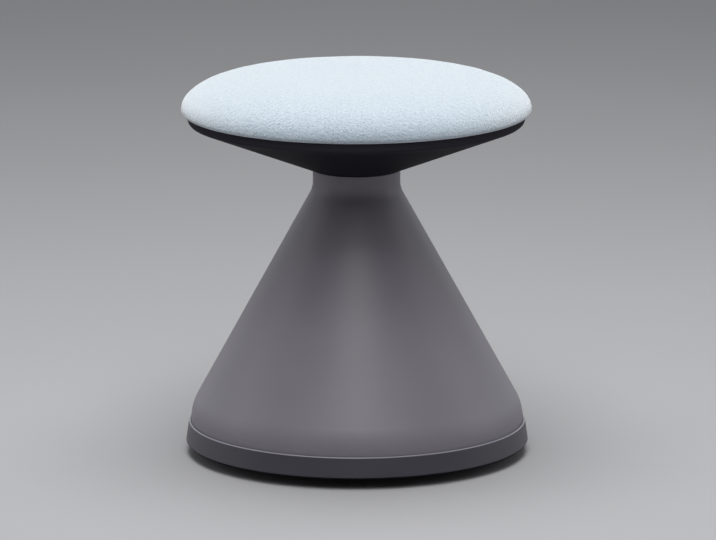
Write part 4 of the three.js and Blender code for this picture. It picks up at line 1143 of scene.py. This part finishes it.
def swollen(pad):
    """Blows the pad up as cloth and returns where its points started and how far each one moved."""
    add_modifier(pad, "REMESH", mode="VOXEL", voxel_size=VOXEL)
    baked(pad)
    start = points_of(pad.data)
    held = pad.vertex_groups.new(name="held")
    held.add([i for i, co in enumerate(start) if co[2] < cushion_bottom + VOXEL / 2], 1.0, "REPLACE")
    cloth = add_modifier(pad, "CLOTH")
    cloth.settings.use_pressure = True
    cloth.settings.uniform_pressure_force = PRESSURE
    cloth.settings.vertex_group_mass = "held"
    cloth.settings.effector_weights.gravity = 0
    for number in range(1, FRAMES + 1):
        bpy.context.scene.frame_set(number)
    baked(pad)
    bpy.context.scene.frame_set(1)
    moves = points_of(pad.data) - start
    lengths = np.linalg.norm(moves, axis=1, keepdims=True)
    print("pad swelled by", round(float(lengths.mean()) / MM, 2), "mm on average")
    bpy.data.objects.remove(pad)
    return start, moves * np.minimum(1, SWELL_CAP / np.maximum(lengths, MM / 1000))


def lay_over(mesh, start, moves):
    """Moves each point along its normal as unevenly as the pad's points near it moved."""
    tree = KDTree(len(start))
    for i, co in enumerate(start):
        tree.insert(co, i)
    tree.balance()
    points = points_of(mesh)
    normals = np.array([vertex.normal for vertex in mesh.vertices])
    near = [[found[1] for found in tree.find_n(co, NEIGHBOURS)] for co in points]
    give = (moves[np.array(near)].mean(axis=1) * normals).sum(axis=1)
    radii = np.hypot(points[:, 0], points[:, 1])
    rings = np.round(np.column_stack([radii, points[:, 2]]) / RING_STEP).astype(int)
    _, ring = np.unique(rings, axis=0, return_inverse=True)
    ring = ring.ravel()
    even = np.bincount(ring, give) / np.bincount(ring)
    free = np.clip((points[:, 2] - cushion_bottom) / (2 * ROLL_H), 0, 1)
    uneven = SHOWN_SHARE * (give - even[ring]) * free
    points += normals * uneven[:, None]
    mesh.vertices.foreach_set("co", points.ravel())
    mesh.update()
    print("uneven by", round(float(np.abs(uneven).max()) / MM, 2), "mm at most")


# %% [markdown]
# The weave needs to know where it is on the cloth. A round piece of cloth is pulled over the crown, so
# its threads still run straight when seen from above, and a point's place is how far along the cloth it
# lies from the middle. Each point is dropped onto the nearest part of the outline, and the length up to
# there is kept.

# %% Places on the cloth
def cloth_places(mesh):
    line = np.array([*cushion_line(finer=4), (0, cushion_bottom)])
    steps = np.diff(line, axis=0)
    lengths = np.linalg.norm(steps, axis=1)
    ways = steps / lengths[:, None]
    before = np.concatenate([[0], np.cumsum(lengths)[:-1]])
    points = points_of(mesh)
    radii = np.hypot(points[:, 0], points[:, 1])
    profile = np.column_stack([radii, points[:, 2]])
    offsets = profile[:, None] - line[None, :-1]
    along = np.clip((offsets * ways).sum(axis=2), 0, lengths)
    nearest = np.linalg.norm(offsets - along[..., None] * ways, axis=2).argmin(axis=1)
    reach = before[nearest] + along[np.arange(len(points)), nearest]
    outward = points[:, :2] / np.maximum(radii, MM / 1000)[:, None]
    places = np.column_stack([outward * reach[:, None], np.zeros(len(points))])
    layer = mesh.attributes.new("cloth_place", "FLOAT_VECTOR", "POINT")
    layer.data.foreach_set("vector", places.astype(np.float32).ravel())
    print("cloth is", round(2 * float(lengths[: 4 * (CROWN_STEPS + ROLL_STEPS)].sum()), 3), "m across")


# %% [markdown]
# The finished cushion stands for cover and foam together.

# %% Cushion
def cushion():
    form = cushion_form("cushion")
    cloth_places(form.data)
    lay_over(form.data, *swollen(cushion_form("pad", START_INSET)))
    form.data.shade_smooth()
    settle(form, "seat_cover", "seat_foam")
    return form


cushion()

# %% [markdown]
# Pieces whose construction shape is already right keep it, and only get the finish of their material.

# %% Finishes on the construction pieces
for name, thing in frame["nodes"].items():
    if not thing.hide_render:
        if not thing.data.materials:
            thing.data.materials.append(None)
        for place in thing.material_slots:
            place.material = finishes[slot_of[name]]
print("construction pieces that show:", sum(not o.hide_render for o in frame["nodes"].values()))

# %% [markdown]
# The studio is a pale floor without an edge under one large soft light. The seat shades the upper part of
# the cone. Two soft lights in front and above, where a mirror on the cone's flank would show them, draw
# the upright pale band down the middle of the cone. Lights at the sides and a pale wall of light behind
# lift the edges.

# %% Floor and lights
FLOOR_SIZE = 24.0
FLOOR_PATCH = 0.8
FLOOR_DARK = colour(0.33, 0.33, 0.34)
FLOOR_PALE = colour(0.355, 0.355, 0.365)
WORLD_EVEN = 0.15
WORLD_BEHIND = 0.8
LIGHTS = {
    "overhead": (68, (0, 0, 2.8), (0, 0, 0.4), (2.2, 2.2)),
    "high_front": (37, (0, -1.6, 2.9), (0, 0, 0.2), (1.4, 1.2)),
    "front_top": (18, (0, -2.8, 2.7), (0, 0, 0.2), (1.4, 1.2)),
    "side_left": (12, (-3.0, 0.3, 1.2), (0, 0, 0.2), (1.6, 2.0)),
    "side_right": (12, (3.0, 0.3, 1.2), (0, 0, 0.2), (1.6, 2.0)),
}


def floor():
    body = bmesh.new()
    bmesh.ops.create_grid(body, x_segments=1, y_segments=1, size=FLOOR_SIZE / 2)
    tree, shader, place = new_finish("studio_floor", {"Roughness": 0.9, "Specular IOR Level": 0.1})
    tint = tree.mix(tree.noise(place, FLOOR_PATCH), FLOOR_DARK, FLOOR_PALE)
    tree.feed(shader.inputs["Base Color"], tint)
    thing = from_bmesh("floor", body, "studio_floor")


def area_light(name, power, place, aim, size):
    light = bpy.data.lights.new(name, "AREA")
    light.shape = "RECTANGLE"
    light.size, light.size_y = size
    light.energy = power
    made = new_object(name, light)
    made.location = place
    made.rotation_euler = (Vector(place) - Vector(aim)).to_track_quat("Z", "Y").to_euler()


def studio_world():
    world = bpy.data.worlds.new("studio")
    world.use_nodes = True
    tree = Tree(world.node_tree)
    direction = tree.node("ShaderNodeTexCoord", output="Generated")
    behind = tree.between(tree.parts(direction)[1], 0.1, 0.9)
    shown = world.node_tree.nodes["Background"]
    shown.inputs["Color"].default_value = colour(0.95, 0.97, 1.0)
    tree.feed(shown.inputs["Strength"], WORLD_EVEN + WORLD_BEHIND * behind)
    bpy.context.scene.world = world


floor()
studio_world()
for name, light in LIGHTS.items():
    area_light(name, *light)
print("lights:", len(bpy.data.lights))
